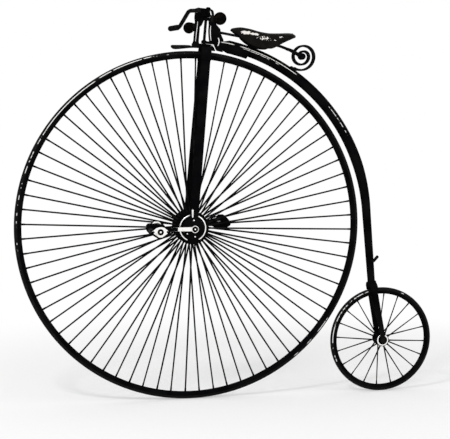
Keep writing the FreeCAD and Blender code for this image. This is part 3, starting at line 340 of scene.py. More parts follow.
finishes = {
    "enamel": makeEnamel(), "steel": makeSteel(), "spring_steel": makeSpringSteel(),
    "nickel": makeNickel(), "tyre": makeTyreRubber(), "rubber": makeBlockRubber(),
    "leather": makeLeather(), "horn": makeHorn(),
}
for part in frame["record"]["subparts"]:
    mesh = nodes[part["node"]].data
    mesh.materials.clear()
    mesh.materials.append(finishes[part["material_slot"]])
print("finishes made:", len(finishes))


def finishPiece(name, mesh, body, finish, crease=35):
    # closes the bmesh into an object at the origin that rides on a body
    bmesh.ops.remove_doubles(mesh, verts=mesh.verts, dist=1e-6)
    bmesh.ops.recalc_face_normals(mesh, faces=mesh.faces)
    data = bpy.data.meshes.new(name)
    mesh.to_mesh(data)
    mesh.free()
    data.shade_smooth()
    data.set_sharp_from_angle(angle=math.radians(crease))
    piece = bpy.data.objects.new(name, data)
    bpy.context.scene.collection.objects.link(piece)
    data.materials.append(finishes[finish])
    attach(piece, body)
    return piece


def edgesAt(verts):
    # the edges at some vertices, each once and in the same order on every run
    return list(dict.fromkeys(edge for vert in verts for edge in vert.link_edges))


def spinRound(mesh, profile, place, steps, closed=False):
    # (radius, height) pairs turned a full circle about the place's own Z
    corners = [mesh.verts.new(place @ (Vector((radius, 0, height)) / 1000))
               for radius, height in profile]
    edges = [mesh.edges.new(pair) for pair in zip(corners, corners[1:])]
    if closed:
        edges.append(mesh.edges.new((corners[-1], corners[0])))
    axis = (place.to_3x3() @ Vector((0, 0, 1))).normalized()
    bmesh.ops.spin(mesh, geom=corners + edges, cent=place.translation, axis=axis,
                   angle=2 * math.pi, steps=steps, use_merge=True)
    bmesh.ops.remove_doubles(mesh, verts=mesh.verts, dist=1e-7)


def addRod(mesh, start, end, radius, tip, segments):
    # a straight rod between two points in metres, tapering to the tip's radius
    run = end - start
    place = Matrix.Translation((start + end) / 2) @ run.to_track_quat("Z", "Y").to_matrix().to_4x4()
    bmesh.ops.create_cone(mesh, cap_ends=True, segments=segments, radius1=radius / 1000,
                          radius2=tip / 1000, depth=run.length,
                          matrix=place)


def addDrum(mesh, place, radius, low, high, segments, bevel=0.0):
    # a drum round the place's Z with rounded edges
    lifted = place @ spot(0, 0, (low + high) / 2)
    made = bmesh.ops.create_cone(mesh, cap_ends=True, segments=segments,
                                 radius1=radius / 1000, radius2=radius / 1000,
                                 depth=(high - low) / 1000, matrix=lifted)
    if bevel:
        inside = place.inverted()
        edges = [edge for edge in edgesAt(made["verts"])
                 if abs((inside @ edge.verts[0].co).z - (inside @ edge.verts[1].co).z) < 1e-6]
        bmesh.ops.bevel(mesh, geom=edges, offset=bevel / 1000, offset_type="OFFSET",
                        segments=2, profile=0.5, affect="EDGES", material=-1)


def addNut(mesh, place, across, low, high):
    # a hexagon nut whose corners are a distance apart
    lifted = place @ spot(0, 0, (low + high) / 2)
    made = bmesh.ops.create_cone(mesh, cap_ends=True, segments=6, radius1=across / 2000,
                                 radius2=across / 2000, depth=(high - low) / 1000, matrix=lifted)
    bmesh.ops.bevel(mesh, geom=edgesAt(made["verts"]), offset=0.0006,
                    offset_type="OFFSET", segments=2, profile=0.5, affect="EDGES", material=-1)


def addDome(mesh, place, radius, height, segments=16):
    # a rounded head on the place's XY plane, half sunk
    shape = Matrix.Diagonal((radius / 1000, radius / 1000, height / 1000, 1))
    bmesh.ops.create_uvsphere(mesh, u_segments=segments, v_segments=8, radius=1,
                              matrix=place @ shape)


def addBar(mesh, place, long, wide, thick, bevel):
    # a block centred on the place with rounded edges
    shape = Matrix.Diagonal((long / 1000, wide / 1000, thick / 1000, 1))
    made = bmesh.ops.create_cube(mesh, size=1, matrix=place @ shape)
    bmesh.ops.bevel(mesh, geom=edgesAt(made["verts"]), offset=bevel / 1000,
                    offset_type="OFFSET", segments=3, profile=0.5, affect="EDGES", material=-1)


def addLoft(mesh, places, segments=40):
    # circles of radius 1 m in the places' XY planes joined in turn and capped
    loops = []
    for place in places:
        made = bmesh.ops.create_circle(mesh, cap_ends=False, segments=segments, radius=1,
                                       matrix=place)
        loops.append(edgesAt(made["verts"]))
    bmesh.ops.edgeloop_fill(mesh, edges=loops[0])
    bmesh.ops.edgeloop_fill(mesh, edges=loops[-1])
    for first, second in zip(loops, loops[1:]):
        bmesh.ops.bridge_loops(mesh, edges=first + second)


def oval(place, along, across):
    return place @ Matrix.Diagonal((along / 1000, across / 1000, 1, 1))


def addTube(mesh, points, radius, segments=10):
    # a round tube along points in metres, with its ends drawn in
    places = []
    runs = [after - before for before, after in zip(points, points[1:])]
    for index, point in enumerate(points):
        run = runs[max(index - 1, 0)] + runs[min(index, len(runs) - 1)]
        turn = run.to_track_quat("Z", "Y").to_matrix().to_4x4()
        fine = 0.6 if index in (0, len(points) - 1) else 1.0
        places.append(oval(Matrix.Translation(point) @ turn, radius * fine, radius * fine))
    addLoft(mesh, places, segments)


def makeRing(name, body, place, inner, outer, low, high, finish, steps=96):
    mesh = bmesh.new()
    soft = min(0.8, (outer - inner) / 4)
    spinRound(mesh, [(inner, low), (inner, high - soft), (inner + soft, high),
                     (outer - soft, high), (outer, high - soft), (outer, low)],
              place, steps, True)
    finishPiece(name, mesh, body, finish)


def curveAt(rows, where):
    # the rows' numbers at a place from 0 to 1 on a curve through them
    last = len(rows) - 1
    start = min(int(where * last), last - 1)
    part = where * last - start
    near = [rows[min(max(start + step, 0), last)] for step in (-1, 0, 1, 2)]
    return [0.5 * (2 * b + (c - a) * part + (2 * a - 5 * b + 4 * c - d) * part ** 2
                   + (3 * b - a - 3 * c + d) * part ** 3) for a, b, c, d in zip(*near)]


def smoothLine(rows, count):
    # the rows' numbers at even steps along a curve through them
    return [tuple(curveAt(rows, index / (count - 1))) for index in range(count)]


wheels = {
    "front": {"centre": hub, "line": 675, "inner": 657, "steps": 288, "spokes": 72,
              "first": 3.3, "foot": 66, "footLine": 46,
              "spoke": 3.1, "butt": 3.5, "head": 3.9, "nipple": 4.0},
    "rear": {"centre": rearHub, "line": 202, "inner": 187, "steps": 160, "spokes": 20,
             "first": 14, "foot": 26, "footLine": 25.5,
             "spoke": 2.1, "butt": 2.9, "head": 3.6, "nipple": 3.3},
}
wheelLook = {"tyre": 11, "sides": 20, "half": 12.5, "floor": 5, "headLong": 9,
             "nippleLong": 15, "nippleStep": 0.4, "headLine": 3, "headSunk": 1}


def makeTyre(wheel, look):
    thick = wheelLook["tyre"]
    profile = []
    for index in range(wheelLook["sides"]):
        turn = 2 * math.pi * index / wheelLook["sides"]
        profile.append((look["line"] + thick * math.cos(turn), thick * math.sin(turn)))
    mesh = bmesh.new()
    spinRound(mesh, profile, Matrix.Translation(look["centre"]) @ outward(1), look["steps"], True)
    tyre = finishPiece(wheel + "Tyre", mesh, wheel + "_wheel", "tyre", 60)
    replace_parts(tyre, wheel + "_tyre")


def makeRim(wheel, look):
    # a crescent with a rounded lip each side and a seat that hides under the tyre
    half, floor = wheelLook["half"], wheelLook["floor"]
    lip = look["line"] - 3.4
    outside = smoothLine([
        (lip, half - 1.7), (lip + 1, half - 0.7), (lip - 0.6, half), (lip - 5, half - 0.6),
        (look["inner"] + 4, half - 3.8), (look["inner"] + 0.4, floor - 0.8),
        (look["inner"], 0)], 19)
    seat = [(look["line"] - 6, 8.4), (look["line"] - 10, 4), (look["line"] - 10.6, 0)]
    upper = seat[::-1] + outside
    lower = [(radius, -height) for radius, height in upper[1:-1]]
    mesh = bmesh.new()
    spinRound(mesh, upper + lower[::-1], Matrix.Translation(look["centre"]) @ outward(1),
              look["steps"], True)
    rim = finishPiece(wheel + "Rim", mesh, wheel + "_wheel", "enamel", 50)
    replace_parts(rim, wheel + "_rim")


def rimPoint(look, angle, away, line):
    return look["centre"] + Vector((math.cos(angle) * away, line, math.sin(angle) * away)) / 1000


def makeSpokes(wheel, look):
    # straight radial spokes at even angles, by turns to the right and the left flange
    mesh = bmesh.new()
    for index in range(look["spokes"]):
        side = -1 if index % 2 else 1
        angle = math.radians(360 * index / look["spokes"] + look["first"])
        foot = rimPoint(look, angle, look["foot"], side * look["footLine"])
        head = rimPoint(look, angle, look["inner"] + wheelLook["headSunk"],
                        side * wheelLook["headLine"])
        along = (head - foot).normalized() / 1000
        addRod(mesh, foot, head, look["butt"], look["spoke"], segments=6)
        addRod(mesh, foot, foot + along * wheelLook["headLong"], look["head"], look["butt"],
               segments=6)
        addRod(mesh, head - along * wheelLook["nippleLong"], head,
               look["spoke"] + wheelLook["nippleStep"], look["nipple"], segments=6)
    spokes = finishPiece(wheel + "Spokes", mesh, wheel + "_wheel", "steel", 40)
    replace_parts(spokes, wheel + "_spokes")


for wheel, look in wheels.items():
    makeTyre(wheel, look)
    makeRim(wheel, look)
    makeSpokes(wheel, look)
print("wheels made")


# the plated bead on each dust cover stands in for the highlight on its rim; it is left open between two angles at
# the bottom, a gap that paints the shade there
hubLook = {"highlightBead": 50, "wide": 3.2, "high": 1.6, "open": (245, 298), "cover": (30, 54.5),
           "inner": 54.2, "outer": 57, "rearRing": (18, 23.5, 27.6, 29.6)}


def makeHubBead(name, side):
    # the opening at the bottom of the bead is painted shade
    low, high = hubLook["open"]
    face = hubFrame @ outward(side)
    steps = 72
    places = []
    for index in range(steps + 1):
        turn = math.radians(high + (360 + low - high) * index / steps)
        fine = 0.5 if index in (0, steps) else 1.0
        around = Matrix.Rotation(turn, 4, "Z") @ spot(hubLook["highlightBead"], 0, hubLook["outer"])
        places.append(oval(face @ around @ Matrix.Rotation(math.radians(-90), 4, "X"),
                           hubLook["wide"] * fine, hubLook["high"] * fine))
    mesh = bmesh.new()
    addLoft(mesh, places, 12)
    finishPiece("hubHighlightBead_" + name, mesh, "front_fork", "nickel", 60)
    makeRing("dustCover_" + name, "front_fork", face, *hubLook["cover"], hubLook["inner"],
             hubLook["outer"], "enamel")


caseLook = {"face": 78.5, "head": 3.6, "high": 3.4, "place": 32,
            "bright": (94, 222, 284), "dark": (34, 154, 342)}


def makeCaseBolts(name, side):
    # three plated bolts and three blackened ones on each bearing's outer face
    for finish, angles in (("nickel", caseLook["bright"]), ("enamel", caseLook["dark"])):
        mesh = bmesh.new()
        for angle in angles:
            turn = math.radians(angle)
            place = forkFrame @ spot(caseLook["place"] * math.cos(turn), side * caseLook["face"],
                                     caseLook["place"] * math.sin(turn)) @ outward(side)
            addDome(mesh, place, caseLook["head"], caseLook["high"])
        finishPiece(f"caseBolts_{finish}_{name}", mesh, "front_fork", finish)


oilerLook = {"x": -4, "low": 44, "high": 73, "line": 75.5, "foot": 3, "top": 4.6,
             "cap": 1.6, "stubIn": 4, "stubDrop": 6, "stubRise": 2, "stub": (2.4, 2.6)}


def makeOiler(name, side):
    # the oil cup on the foot of each blade
    mesh = bmesh.new()
    low, high = (hubFrame @ (Vector((oilerLook["x"], side * oilerLook["line"], level)) / 1000)
                 for level in (oilerLook["low"], oilerLook["high"]))
    addRod(mesh, low, high, oilerLook["foot"], oilerLook["top"], 20)
    addDome(mesh, Matrix.Translation(high), oilerLook["top"], oilerLook["cap"], 20)
    inwards = Vector((0, side * oilerLook["stubIn"], oilerLook["stubDrop"])) / 1000
    upwards = Vector((0, 0, oilerLook["stubRise"])) / 1000
    addRod(mesh, low - inwards, low + upwards, *oilerLook["stub"], 12)
    finishPiece("oiler_" + name, mesh, "front_fork", "nickel")


crankLook = {"line": 96, "start": 64, "end": 146, "wide": 17, "thick": 11.5, "bevel": 3.5,
             "eye": 11, "eyeBevel": 2, "throw": 148, "washer": (3, 11, 106, 109.2),
             "ring": (11.3, 13.7, 106, 108.8), "axleEnd": 109, "tip": 3.4, "tipHigh": 2.2}


def makeCrankTrim(name, side):
    # the arm's black sleeve, and the washer and rounded end of the axle
    mesh = bmesh.new()
    long = crankLook["end"] - crankLook["start"]
    place = hubFrame @ spot(side * (crankLook["start"] + long / 2), side * crankLook["line"], 0)
    addBar(mesh, place, long, crankLook["thick"], crankLook["wide"], crankLook["bevel"])
    eye = hubFrame @ spot(side * crankLook["throw"], 0, 0) @ outward(side)
    half = crankLook["thick"] / 2
    addDrum(mesh, eye, crankLook["eye"], crankLook["line"] - half, crankLook["line"] + half, 40,
            crankLook["eyeBevel"])
    finishPiece("crankSleeve_" + name, mesh, "front_wheel", "enamel")
    face = hubFrame @ outward(side)
    makeRing("crankWasher_" + name, "front_wheel", face, *crankLook["washer"], "enamel", 40)
    makeRing("crankRing_" + name, "front_wheel", face, *crankLook["ring"], "nickel", 48)
    mesh = bmesh.new()
    addDome(mesh, face @ spot(0, 0, crankLook["axleEnd"]), crankLook["tip"],
            crankLook["tipHigh"], 20)
    finishPiece("crankEnd_" + name, mesh, "front_wheel", "nickel")


for name, side in sides.items():
    makeHubBead(name, side)
    makeRing("rearHubRing_" + name, "rear_wheel", rearFrame @ outward(side),
             *hubLook["rearRing"], "nickel", 64)
    makeCaseBolts(name, side)
    makeOiler(name, side)
    makeCrankTrim(name, side)


# the inner plate's plated arch and streaks stand in for highlights
pedalLook = {"throw": 148, "inside": 107, "outside": 195, "wall": 3.5, "sleeve": 10,
             "plate": [(38, -5), (38, 5), (27, 15), (14, 23.5), (-14, 23.5), (-27, 15), (-38, 5),
                       (-38, -5), (-27, -14), (-12, -23.5), (12, -23.5), (27, -14)],
             "facing": [(33, 1.5), (25, 8), (14, 17), (4, 19.5), (-6, 19), (-16, 16), (-26, 8),
                        (-33, 3), (-27, -5), (-16, -13), (-6, -20), (6, -20), (16, -13),
                        (27, -5)],
             "highlightStreaks": [[(-40, 16), (-37, 22.5), (-28, 25.5), (-19, 24.5), (-13, 17),
                          (-21, 20.5), (-31, 21)],
                         [(-40, -3), (-22, -1), (-4, -4), (-4, -7), (-22, -5), (-39, -6)],
                         [(-18, 10), (-6, 11), (-6, 7), (-18, 6)]],
             "bevel": 0.8, "facingHigh": 1.2, "facingSunk": 0.6, "facingBevel": 0.3,
             "inlayHigh": 1.2, "inlaySunk": 0.4, "streakHigh": 1, "streakBevel": 0.2, "cap": 12,
             "capBevel": 1.2,
             "inner": [(-40, -4), (-44, 6), (-43, 20), (-36, 26), (-24, 27), (-20, 32),
                       (-13, 37.5), (5, 37.5), (13, 33), (24, 22), (34, 10), (38, 0), (36, -8),
                       (14, -22), (-26, -20)],
             "highlightArch": [(-19, 23), (-18, 28), (-12, 33), (4, 33), (10, 29.5), (15, 22), (4, 24),
                       (-12, 24)], "capHigh": 2.6, "dot": 4, "dotHigh": 1.6,
             "nut": 10.5, "nutHigh": 2.6, "nutPlace": 28, "block": 9.5, "blockPlace": 27,
             "ribs": 9, "rib": [(0.02, 0.84), (0.2, 1), (0.8, 1), (0.98, 0.84)]}


def addPlate(mesh, place, corners, thick, bevel):
    # a flat plate from its outline on the place's XY plane, with rounded edges
    face = mesh.faces.new([mesh.verts.new(place @ (Vector((x, y, 0)) / 1000))
                           for x, y in corners])
    made = bmesh.ops.extrude_face_region(mesh, geom=[face])
    verts = [thing for thing in made["geom"] if isinstance(thing, bmesh.types.BMVert)]
    lift = place.to_3x3() @ Vector((0, 0, thick / 1000))
    bmesh.ops.translate(mesh, verts=verts, vec=lift)
    bmesh.ops.bevel(mesh, geom=edgesAt(verts + list(face.verts)), offset=bevel / 1000,
                    offset_type="OFFSET", segments=2, profile=0.5, affect="EDGES", material=-1)


def makePedal(name, side):
    body = "pedal_" + name
    face = hubFrame @ spot(side * pedalLook["throw"], 0, 0) @ outward(side)
    outside, inside, wall = pedalLook["outside"], pedalLook["inside"], pedalLook["wall"]

    def addUpright(corners, level, thick, bevel):
        # an outline that has a top and a bottom, the same way up on both sides
        upright = [(x, -side * y) for x, y in corners]
        addPlate(mesh, face @ spot(0, 0, level), upright, thick, bevel)

    mesh = bmesh.new()
    addPlate(mesh, face @ spot(0, 0, outside - wall), pedalLook["plate"], wall,
             pedalLook["bevel"])
    addUpright(pedalLook["inner"], inside, wall, pedalLook["bevel"])
    addDrum(mesh, face, pedalLook["sleeve"], inside + 1, outside - 1, 32)
    addDrum(mesh, face, pedalLook["cap"], outside - 1, outside + pedalLook["capHigh"], 40,
            pedalLook["capBevel"])
    for across in (-pedalLook["nutPlace"], pedalLook["nutPlace"]):
        addNut(mesh, face @ spot(across, 0, 0), pedalLook["nut"], outside - 1,
               outside + pedalLook["nutHigh"])
    finishPiece("pedalBody_" + name, mesh, body, "enamel")
    mesh = bmesh.new()
    addUpright(pedalLook["facing"], outside - pedalLook["facingSunk"], pedalLook["facingHigh"],
               pedalLook["facingBevel"])
    # the plated arch and streaks on the inner plate are painted highlights
    addUpright(pedalLook["highlightArch"], inside + wall - pedalLook["inlaySunk"],
               pedalLook["inlayHigh"], pedalLook["facingBevel"])
    for streak in pedalLook["highlightStreaks"]:
        addUpright(streak, inside - pedalLook["facingSunk"], pedalLook["streakHigh"],
                   pedalLook["streakBevel"])
    addDome(mesh, face @ spot(0, 0, outside + pedalLook["capHigh"]), pedalLook["dot"],
            pedalLook["dotHigh"], 20)
    facing = finishPiece("pedalFacing_" + name, mesh, body, "nickel")
    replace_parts(facing, "pedal_" + name)
    mesh = bmesh.new()
    low, high = inside + wall, outside - wall
    pitch = (high - low) / pedalLook["ribs"]
    profile = [(0, low)]
    for rib in range(pedalLook["ribs"]):
        base = low + rib * pitch
        for part, wide in pedalLook["rib"]:
            profile.append((pedalLook["block"] * wide, base + part * pitch))
    profile.append((0, high))
    for across in (-pedalLook["blockPlace"], pedalLook["blockPlace"]):
        spinRound(mesh, profile, face @ spot(across, 0, 0), 20)
    blocks = finishPiece("pedalBlocks_" + name, mesh, body, "rubber")
    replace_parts(blocks, f"pedal_{name}_blocks")


for name, side in sides.items():
    makePedal(name, side)
print("hubs, cranks and pedals made")


# level, distance from the middle plane, half width and half thickness at each end
bladeLook = {"top": (655, 34, 19, 8), "foot": (25, 67.5, 17, 7),
             "collar": ((-4, 0.2), (-3.4, 1.6), (1.4, 1.6), (2, 0.2))}


def ovalAt(frameOf, side, level, line, half, thin, more=0.0):
    return oval(frameOf @ spot(0, side * line, level), half + more, thin + more)


def addBlade(mesh, frameOf, side, look, steps, segments):
    # an oval blade that tapers evenly from its foot to its top
    places = []
    for step in range(steps + 1):
        high = step / steps
        ends = zip(look["foot"], look["top"])
        places.append(ovalAt(frameOf, side, *(foot * (1 - high) + top * high
                                              for foot, top in ends)))
    addLoft(mesh, places, segments)


def makeFrontBlade(name, side):
    mesh = bmesh.new()
    addBlade(mesh, forkFrame, side, bladeLook, 8, 40)
    blade = finishPiece("forkBlade_" + name, mesh, "front_fork", "enamel")
    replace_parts(blade, "fork_blade_" + name)
    level, line, half, thin = bladeLook["top"]
    mesh = bmesh.new()
    addLoft(mesh, [ovalAt(forkFrame, side, level + rise, line, half, thin, more)
                   for rise, more in bladeLook["collar"]])
    finishPiece("forkCollar_" + name, mesh, "front_fork", "enamel")


rearBladeLook = {"top": (207, 30, 12, 4.5), "foot": (4, 39.5, 10.5, 4.5), "eye": 14,
                 "eyeBevel": 1.2, "axle": 5, "nut": 20, "nutHigh": 7, "washer": 12,
                 "washerHigh": 1.2, "stub": 3}


def makeRearBlade(name, side):
    line, thin = rearBladeLook["foot"][1], rearBladeLook["foot"][3]
    mesh = bmesh.new()
    addBlade(mesh, rearForkFrame, side, rearBladeLook, 5, 32)
    addDrum(mesh, rearFrame @ outward(side), rearBladeLook["eye"], line - thin, line + thin, 40,
            rearBladeLook["eyeBevel"])
    blade = finishPiece("rearBlade_" + name, mesh, "frame", "enamel")
    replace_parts(blade, "rear_blade_" + name)


def makeRearAxle():
    mesh = bmesh.new()
    out = rearBladeLook["foot"][1] + rearBladeLook["foot"][3]
    nutFoot = out + rearBladeLook["washerHigh"]
    nutTop = out + rearBladeLook["nutHigh"]
    axle = rearFrame @ outward(1)
    addDrum(mesh, axle, rearBladeLook["axle"], -nutTop - rearBladeLook["stub"],
            nutTop + rearBladeLook["stub"], 24, 1)
    for side in sides.values():
        face = rearFrame @ outward(side)
        addDrum(mesh, face, rearBladeLook["washer"], out, nutFoot, 32, 0.4)
        addNut(mesh, face, rearBladeLook["nut"], nutFoot, nutTop)
    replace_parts(finishPiece("rearAxle", mesh, "frame", "steel"), "rear_axle")


for name, side in sides.items():
    makeFrontBlade(name, side)
    makeRearBlade(name, side)
makeRearAxle()
print("forks made")


# the bead, strip, crescent and glint are plated strips that stand in for highlights
headLook = {
    "highlightBead": [(25, 14), (22, 28), (20, 40), (19, 51), (19, 70)], "neckLow": 717, "behind": -6,
    "side": 11, "beadRound": 1.8, "sleeveStart": 71.5, "sleeve": 25.5,
    "sleeveLine": 724.5, "sleeveBore": 22,
    "strip": [(-39.2, 800), (-40.6, 760), (-41.6, 722)], "stripSide": 10.4, "stripRound": 1.6,
    "gusset": [(-38, 852), (-38, 803), (-30, 805), (-24.5, 808), (-18.8, 812), (-16, 826),
               (-16, 852)], "gussetHalf": 9, "gussetBevel": 1,
    "disc": (12, 30, 709, 714.5),
    "bolts": [(18.6, 709.5), (28.5, 711)], "boltSide": 9.5, "bolt": 3, "boltHigh": 2.4,
    "crescent": [(45.5, 743.5), (49.5, 737), (51, 729), (50, 720), (47, 712.5)],
    "crescentSide": 13, "crescentRound": 2.5,
    "glint": [(-6.8, 84, 836.5), (-7.5, 101, 827), (-7.9, 116, 818.8)], "glintRound": 2.4,
}


def inFork(u, y, s):
    return forkFrame @ (Vector((u, y, s)) / 1000)


def makeHighlightBead(name, body, points, thick):
    # a plated bead along points given in the fork's frame, standing in for a highlight
    mesh = bmesh.new()
    addTube(mesh, [inFork(*point) for point in points], thick)
    finishPiece(name, mesh, body, "nickel")


def makeSideTrim(name, side):
    # plated strips on the neck, at the sleeve's start and on the column are painted highlights
    makeHighlightBead("neckHighlightBead_" + name, "frame",
             [(headLook["behind"] + behind, side * headLook["side"], headLook["neckLow"] + above)
              for behind, above in headLook["highlightBead"]], headLook["beadRound"])
    makeHighlightBead("sleeveHighlightClip_" + name, "frame",
             [(u, side * headLook["crescentSide"], s) for u, s in headLook["crescent"]],
             headLook["crescentRound"])
    makeHighlightBead("columnHighlightStrip_" + name, "front_fork",
             [(u, side * headLook["stripSide"], s) for u, s in headLook["strip"]],
             headLook["stripRound"])
    mesh = bmesh.new()
    # a plated strip on the handlebar's bend is a painted glint
    addTube(mesh, [inFork(u, side * y, s) for u, y, s in headLook["glint"]],
            headLook["glintRound"])
    for u, s in headLook["bolts"]:
        place = Matrix.Translation(inFork(u, side * headLook["boltSide"], s)) @ outward(side)
        addDome(mesh, place, headLook["bolt"], headLook["boltHigh"])
    finishPiece("headBoltsAndGlint_" + name, mesh, "front_fork", "nickel")


def makeSleeveBead():
    # a raised bead round the neck's sleeve, where the backbone starts
    turn = math.radians(headLook["sleeveStart"])
    line, bore, wide = headLook["sleeveLine"], headLook["sleeveBore"], headLook["sleeve"]
    place = hubFrame @ spot(line * math.cos(turn), 0, line * math.sin(turn))
    place = place @ Matrix.Rotation(-turn, 4, "Y")
    mesh = bmesh.new()
    spinRound(mesh, [(bore, -1), (wide + 0.4, -1), (wide + 1.6, 0.6), (wide + 1.6, 3.4),
                     (wide + 0.4, 5), (bore, 5)], place, 48, True)
    finishPiece("sleeveBead", mesh, "frame", "enamel")


def makeColumnGusset():
    # the block that fills the corner between the head's column and its top lug
    half = headLook["gussetHalf"]
    flat = forkFrame @ spot(0, half, 0) @ Matrix.Rotation(math.radians(90), 4, "X")
    mesh = bmesh.new()
    addPlate(mesh, flat, headLook["gusset"], 2 * half, headLook["gussetBevel"])
    finishPiece("columnGusset", mesh, "front_fork", "enamel")


gripLook = {"start": (-4, 137, 798), "end": (-14, 323, 794), "neck": 12, "ball": 23.5,
            "reach": 97}


def makeGrip(name, side):
    # a turned horn pear with its round end outwards
    start, end = (inFork(u, side * y, s) for u, y, s in (gripLook["start"], gripLook["end"]))
    run = (end - start).normalized()
    place = Matrix.Translation(end) @ run.to_track_quat("Z", "Y").to_matrix().to_4x4()
    ball, neck, low = gripLook["ball"], gripLook["neck"], -gripLook["reach"]
    profile = smoothLine([
        (neck - 1.5, low), (neck, low + 1.5), (neck + 0.6, low + 12), (15.4, low + 34),
        (19.5, low + 58)], 13)
    for index in range(15):
        turn = math.radians(-24 + 114 * index / 14)
        profile.append((ball * math.cos(turn), ball * math.sin(turn)))
    mesh = bmesh.new()
    spinRound(mesh, [(0, low)] + profile, place, 48)
    grip = finishPiece("grip_" + name + "_turned", mesh, "front_fork", "horn", 50)
    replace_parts(grip, "grip_" + name)


for name, side in sides.items():
    makeSideTrim(name, side)
makeSleeveBead()
makeColumnGusset()
makeRing("lockDisc", "front_fork", forkFrame @ spot(headLook["behind"], 0, 0),
         *headLook["disc"], "enamel", 64)
for name, side in sides.items():
    makeGrip(name, side)
# these two solids are finished in another way than their slots say
for name, finish in (("head_dome", "enamel"), ("handlebar", "steel")):
    nodes[name].data.materials.clear()
    nodes[name].data.materials.append(finishes[finish])
print("head made")


# x, height above the tyre's top, half width and lower edge of the hide along the saddle
saddleLook = {
    "rows": [(160.5, 86, 8.5, 84), (163, 89, 12, 80.5), (176, 92, 16, 71), (194, 94, 21, 60),
             (208, 93, 26, 44), (236, 88, 35, 25), (270, 78.5, 45, 13.5), (302, 73, 54, 10.5),
             (320, 72, 58, 14), (355, 72.5, 67, 34), (385, 73.5, 71.5, 48),
             (403, 71.5, 58, 55), (410.5, 66, 34, 58)],
    "ground": 686, "along": 72, "across": 36, "wall": 3.2, "piping": 1.9, "edge": 0.985,
    "rivet": 3.2, "rivetHigh": 1.6,
    "nose": [(172, 90.5, 0), (177, 85, 11), (177, 85, -11)],
    "back": [(398, 71, -40), (400, 72, -22), (401, 72.4, 0), (400, 72, 22), (398, 71, 40)],
}


def hidePoint(along, across):
    # a point of the hide from nose to back and from its left edge to its right edge
    x, rise, half, edge = curveAt(saddleLook["rows"], along)
    bend = min(18, (rise - edge) * 0.5)
    right = [(0, rise), (half * 0.42, rise - 0.8), (half * 0.76, rise - 4.5),
             (half * 0.97, rise - bend), (half, edge)]
    y, z = curveAt([(-y, z) for y, z in right[:0:-1]] + right, (across + 1) / 2)
    return hub + Vector((x, y, z + saddleLook["ground"])) / 1000


def makeHide():
    mesh = bmesh.new()
    made = bmesh.ops.create_grid(mesh, x_segments=saddleLook["along"],
                                 y_segments=saddleLook["across"], size=1)
    for vert in made["verts"]:
        vert.co = hidePoint((vert.co.x + 1) / 2, vert.co.y)
    hide = finishPiece("saddleHide", mesh, "frame", "leather", 80)
    wall = hide.modifiers.new("wall", "SOLIDIFY")
    wall.thickness = saddleLook["wall"] / 1000
    wall.offset = -1
    smooth = hide.modifiers.new("smooth", "SUBSURF")
    smooth.levels = 1
    smooth.render_levels = 1
    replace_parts(hide, "saddle_leather")


def makePiping():
    # a rolled edge along each flap and round the back
    mesh = bmesh.new()
    steps, turns = 40, 16
    edge = saddleLook["edge"]
    line = [hidePoint(0.02 + 0.98 * index / steps, -edge) for index in range(steps)]
    line += [hidePoint(0.995, -edge + 2 * edge * index / turns) for index in range(turns + 1)]
    line += [hidePoint(1 - 0.98 * index / steps, edge) for index in range(1, steps + 1)]
    addTube(mesh, line, saddleLook["piping"], 8)
    finishPiece("saddlePiping", mesh, "frame", "leather", 60)


def makeRivets():
    mesh = bmesh.new()
    for x, rise, y in saddleLook["nose"] + saddleLook["back"]:
        place = hubFrame @ spot(x, y, rise + saddleLook["ground"])
        addDome(mesh, place, saddleLook["rivet"], saddleLook["rivetHigh"], 14)
    finishPiece("saddleRivets", mesh, "frame", "nickel")


scrollNutLook = {"across": 14, "low": 21.5, "high": 26.5, "tip": 3.6, "tipHigh": 2}


def makeScrollNuts():
    # the nuts on the scroll's bolt and the bolt's rounded ends
    mesh = bmesh.new()
    for side in sides.values():
        face = Matrix.Translation(middle("scroll_bolt")) @ outward(side)
        addNut(mesh, face, scrollNutLook["across"], scrollNutLook["low"], scrollNutLook["high"])
        addDome(mesh, face @ spot(0, 0, scrollNutLook["high"]), scrollNutLook["tip"],
                scrollNutLook["tipHigh"])
    finishPiece("scrollNuts", mesh, "frame", "steel")


makeHide()
makePiping()
makeRivets()
makeScrollNuts()
print("saddle made")


# the floor glows a little below the object and turns to plain white between two distances
stageLook = {"floor": (0.96, 0.96, 0.96), "wide": 14, "glow": 0.3, "fade": (0.9, 2.2),
             "ambient": 0.72}


def makeStage():
    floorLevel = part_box("front_tyre")[0].z
    mesh = bmesh.new()
    bmesh.ops.create_circle(mesh, cap_ends=True, segments=96, radius=stageLook["wide"])
    data = bpy.data.meshes.new("floor")
    mesh.to_mesh(data)
    mesh.free()
    floor = bpy.data.objects.new("floor", data)
    floor.location = (0, 0, floorLevel)
    bpy.context.scene.collection.objects.link(floor)
    recipe = Recipe("paleFloor", Roughness=0.9, Specular_IOR_Level=0.0)
    recipe.shader.inputs["Base Color"].default_value = (*stageLook["floor"], 1)
    where = recipe.node("ShaderNodeTexCoord", {}, {}, "Object")
    far = recipe.node("ShaderNodeVectorMath", {"operation": "LENGTH"}, [where], "Value")
    glow = recipe.node("ShaderNodeEmission", {}, {"Color": (1, 1, 1, 1), "Strength": 1.0})
    lit = Wire(recipe, recipe.shader.outputs[0])
    share = far.rise(*stageLook["fade"]) * (1 - stageLook["glow"]) + stageLook["glow"]
    mixed = recipe.node("ShaderNodeMixShader", {}, [share, lit, glow])
    recipe.tree.links.new(mixed.socket, recipe.tree.nodes["Material Output"].inputs["Surface"])
    data.materials.append(recipe.material)


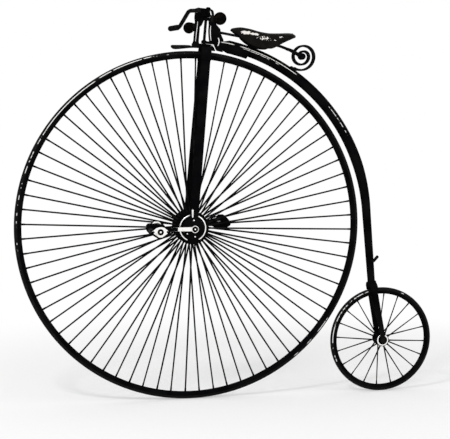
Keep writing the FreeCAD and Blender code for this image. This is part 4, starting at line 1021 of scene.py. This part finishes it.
def makeWorld():
    # white where it is seen or reflected, softer as light
    world = bpy.data.worlds.new("studio")
    world.use_nodes = True
    tree = world.node_tree
    ray = tree.nodes.new("ShaderNodeLightPath")
    shown = ray.outputs["Is Camera Ray"]
    for kind in ("Is Glossy Ray", "Is Transmission Ray"):
        most = tree.nodes.new("ShaderNodeMath")
        most.operation = "MAXIMUM"
        tree.links.new(shown, most.inputs[0])
        tree.links.new(ray.outputs[kind], most.inputs[1])
        shown = most.outputs[0]
    strength = tree.nodes.new("ShaderNodeMapRange")
    strength.inputs["To Min"].default_value = stageLook["ambient"]
    strength.inputs["To Max"].default_value = 1.0
    tree.links.new(shown, strength.inputs["Value"])
    back = tree.nodes["Background"]
    back.inputs["Color"].default_value = (1, 1, 1, 1)
    tree.links.new(strength.outputs[0], back.inputs["Strength"])
    bpy.context.scene.world = world


# metres from the hub, and the lamp's width in metres
lamps = {
    "keyLamp": {"place": Vector((-1.8, -2.4, 3.0)), "size": 0.7, "power": 60},
    "fillLamp": {"place": Vector((2.5, -2.0, 1.5)), "size": 2.0, "power": 14},
}


def makeLamp(name, look):
    # a round lamp that shines on the hub
    lamp = bpy.data.lights.new(name, "AREA")
    lamp.shape = "DISK"
    lamp.size = look["size"]
    lamp.energy = look["power"]
    holder = bpy.data.objects.new(name, lamp)
    place = hub + look["place"]
    holder.location = place
    holder.rotation_euler = (hub - place).to_track_quat("-Z", "Y").to_euler()
    bpy.context.scene.collection.objects.link(holder)


# place from the hub in metres, turns in degrees and lens in millimetres
cameraLook = {"place": Vector((-0.90195, -5.01783, 0.49882)), "down": 5.267, "turn": 11.726,
              "roll": 0.24, "lens": 104.142}


def makeCamera():
    camera = bpy.data.cameras.new("camera")
    camera.sensor_width = 36
    camera.lens = cameraLook["lens"]
    camera.clip_end = 100
    holder = bpy.data.objects.new("camera", camera)
    turns = (("Z", -cameraLook["turn"]), ("X", 90 - cameraLook["down"]), ("Z", cameraLook["roll"]))
    pose = Matrix.Translation(hub + cameraLook["place"])
    for axis, angle in turns:
        pose = pose @ Matrix.Rotation(math.radians(angle), 4, axis)
    holder.matrix_world = pose
    bpy.context.scene.collection.objects.link(holder)
    bpy.context.scene.camera = holder


makeStage()
makeWorld()
for name, look in lamps.items():
    makeLamp(name, look)
makeCamera()
bpy.context.scene.view_settings.view_transform = "Standard"
print("stage set")
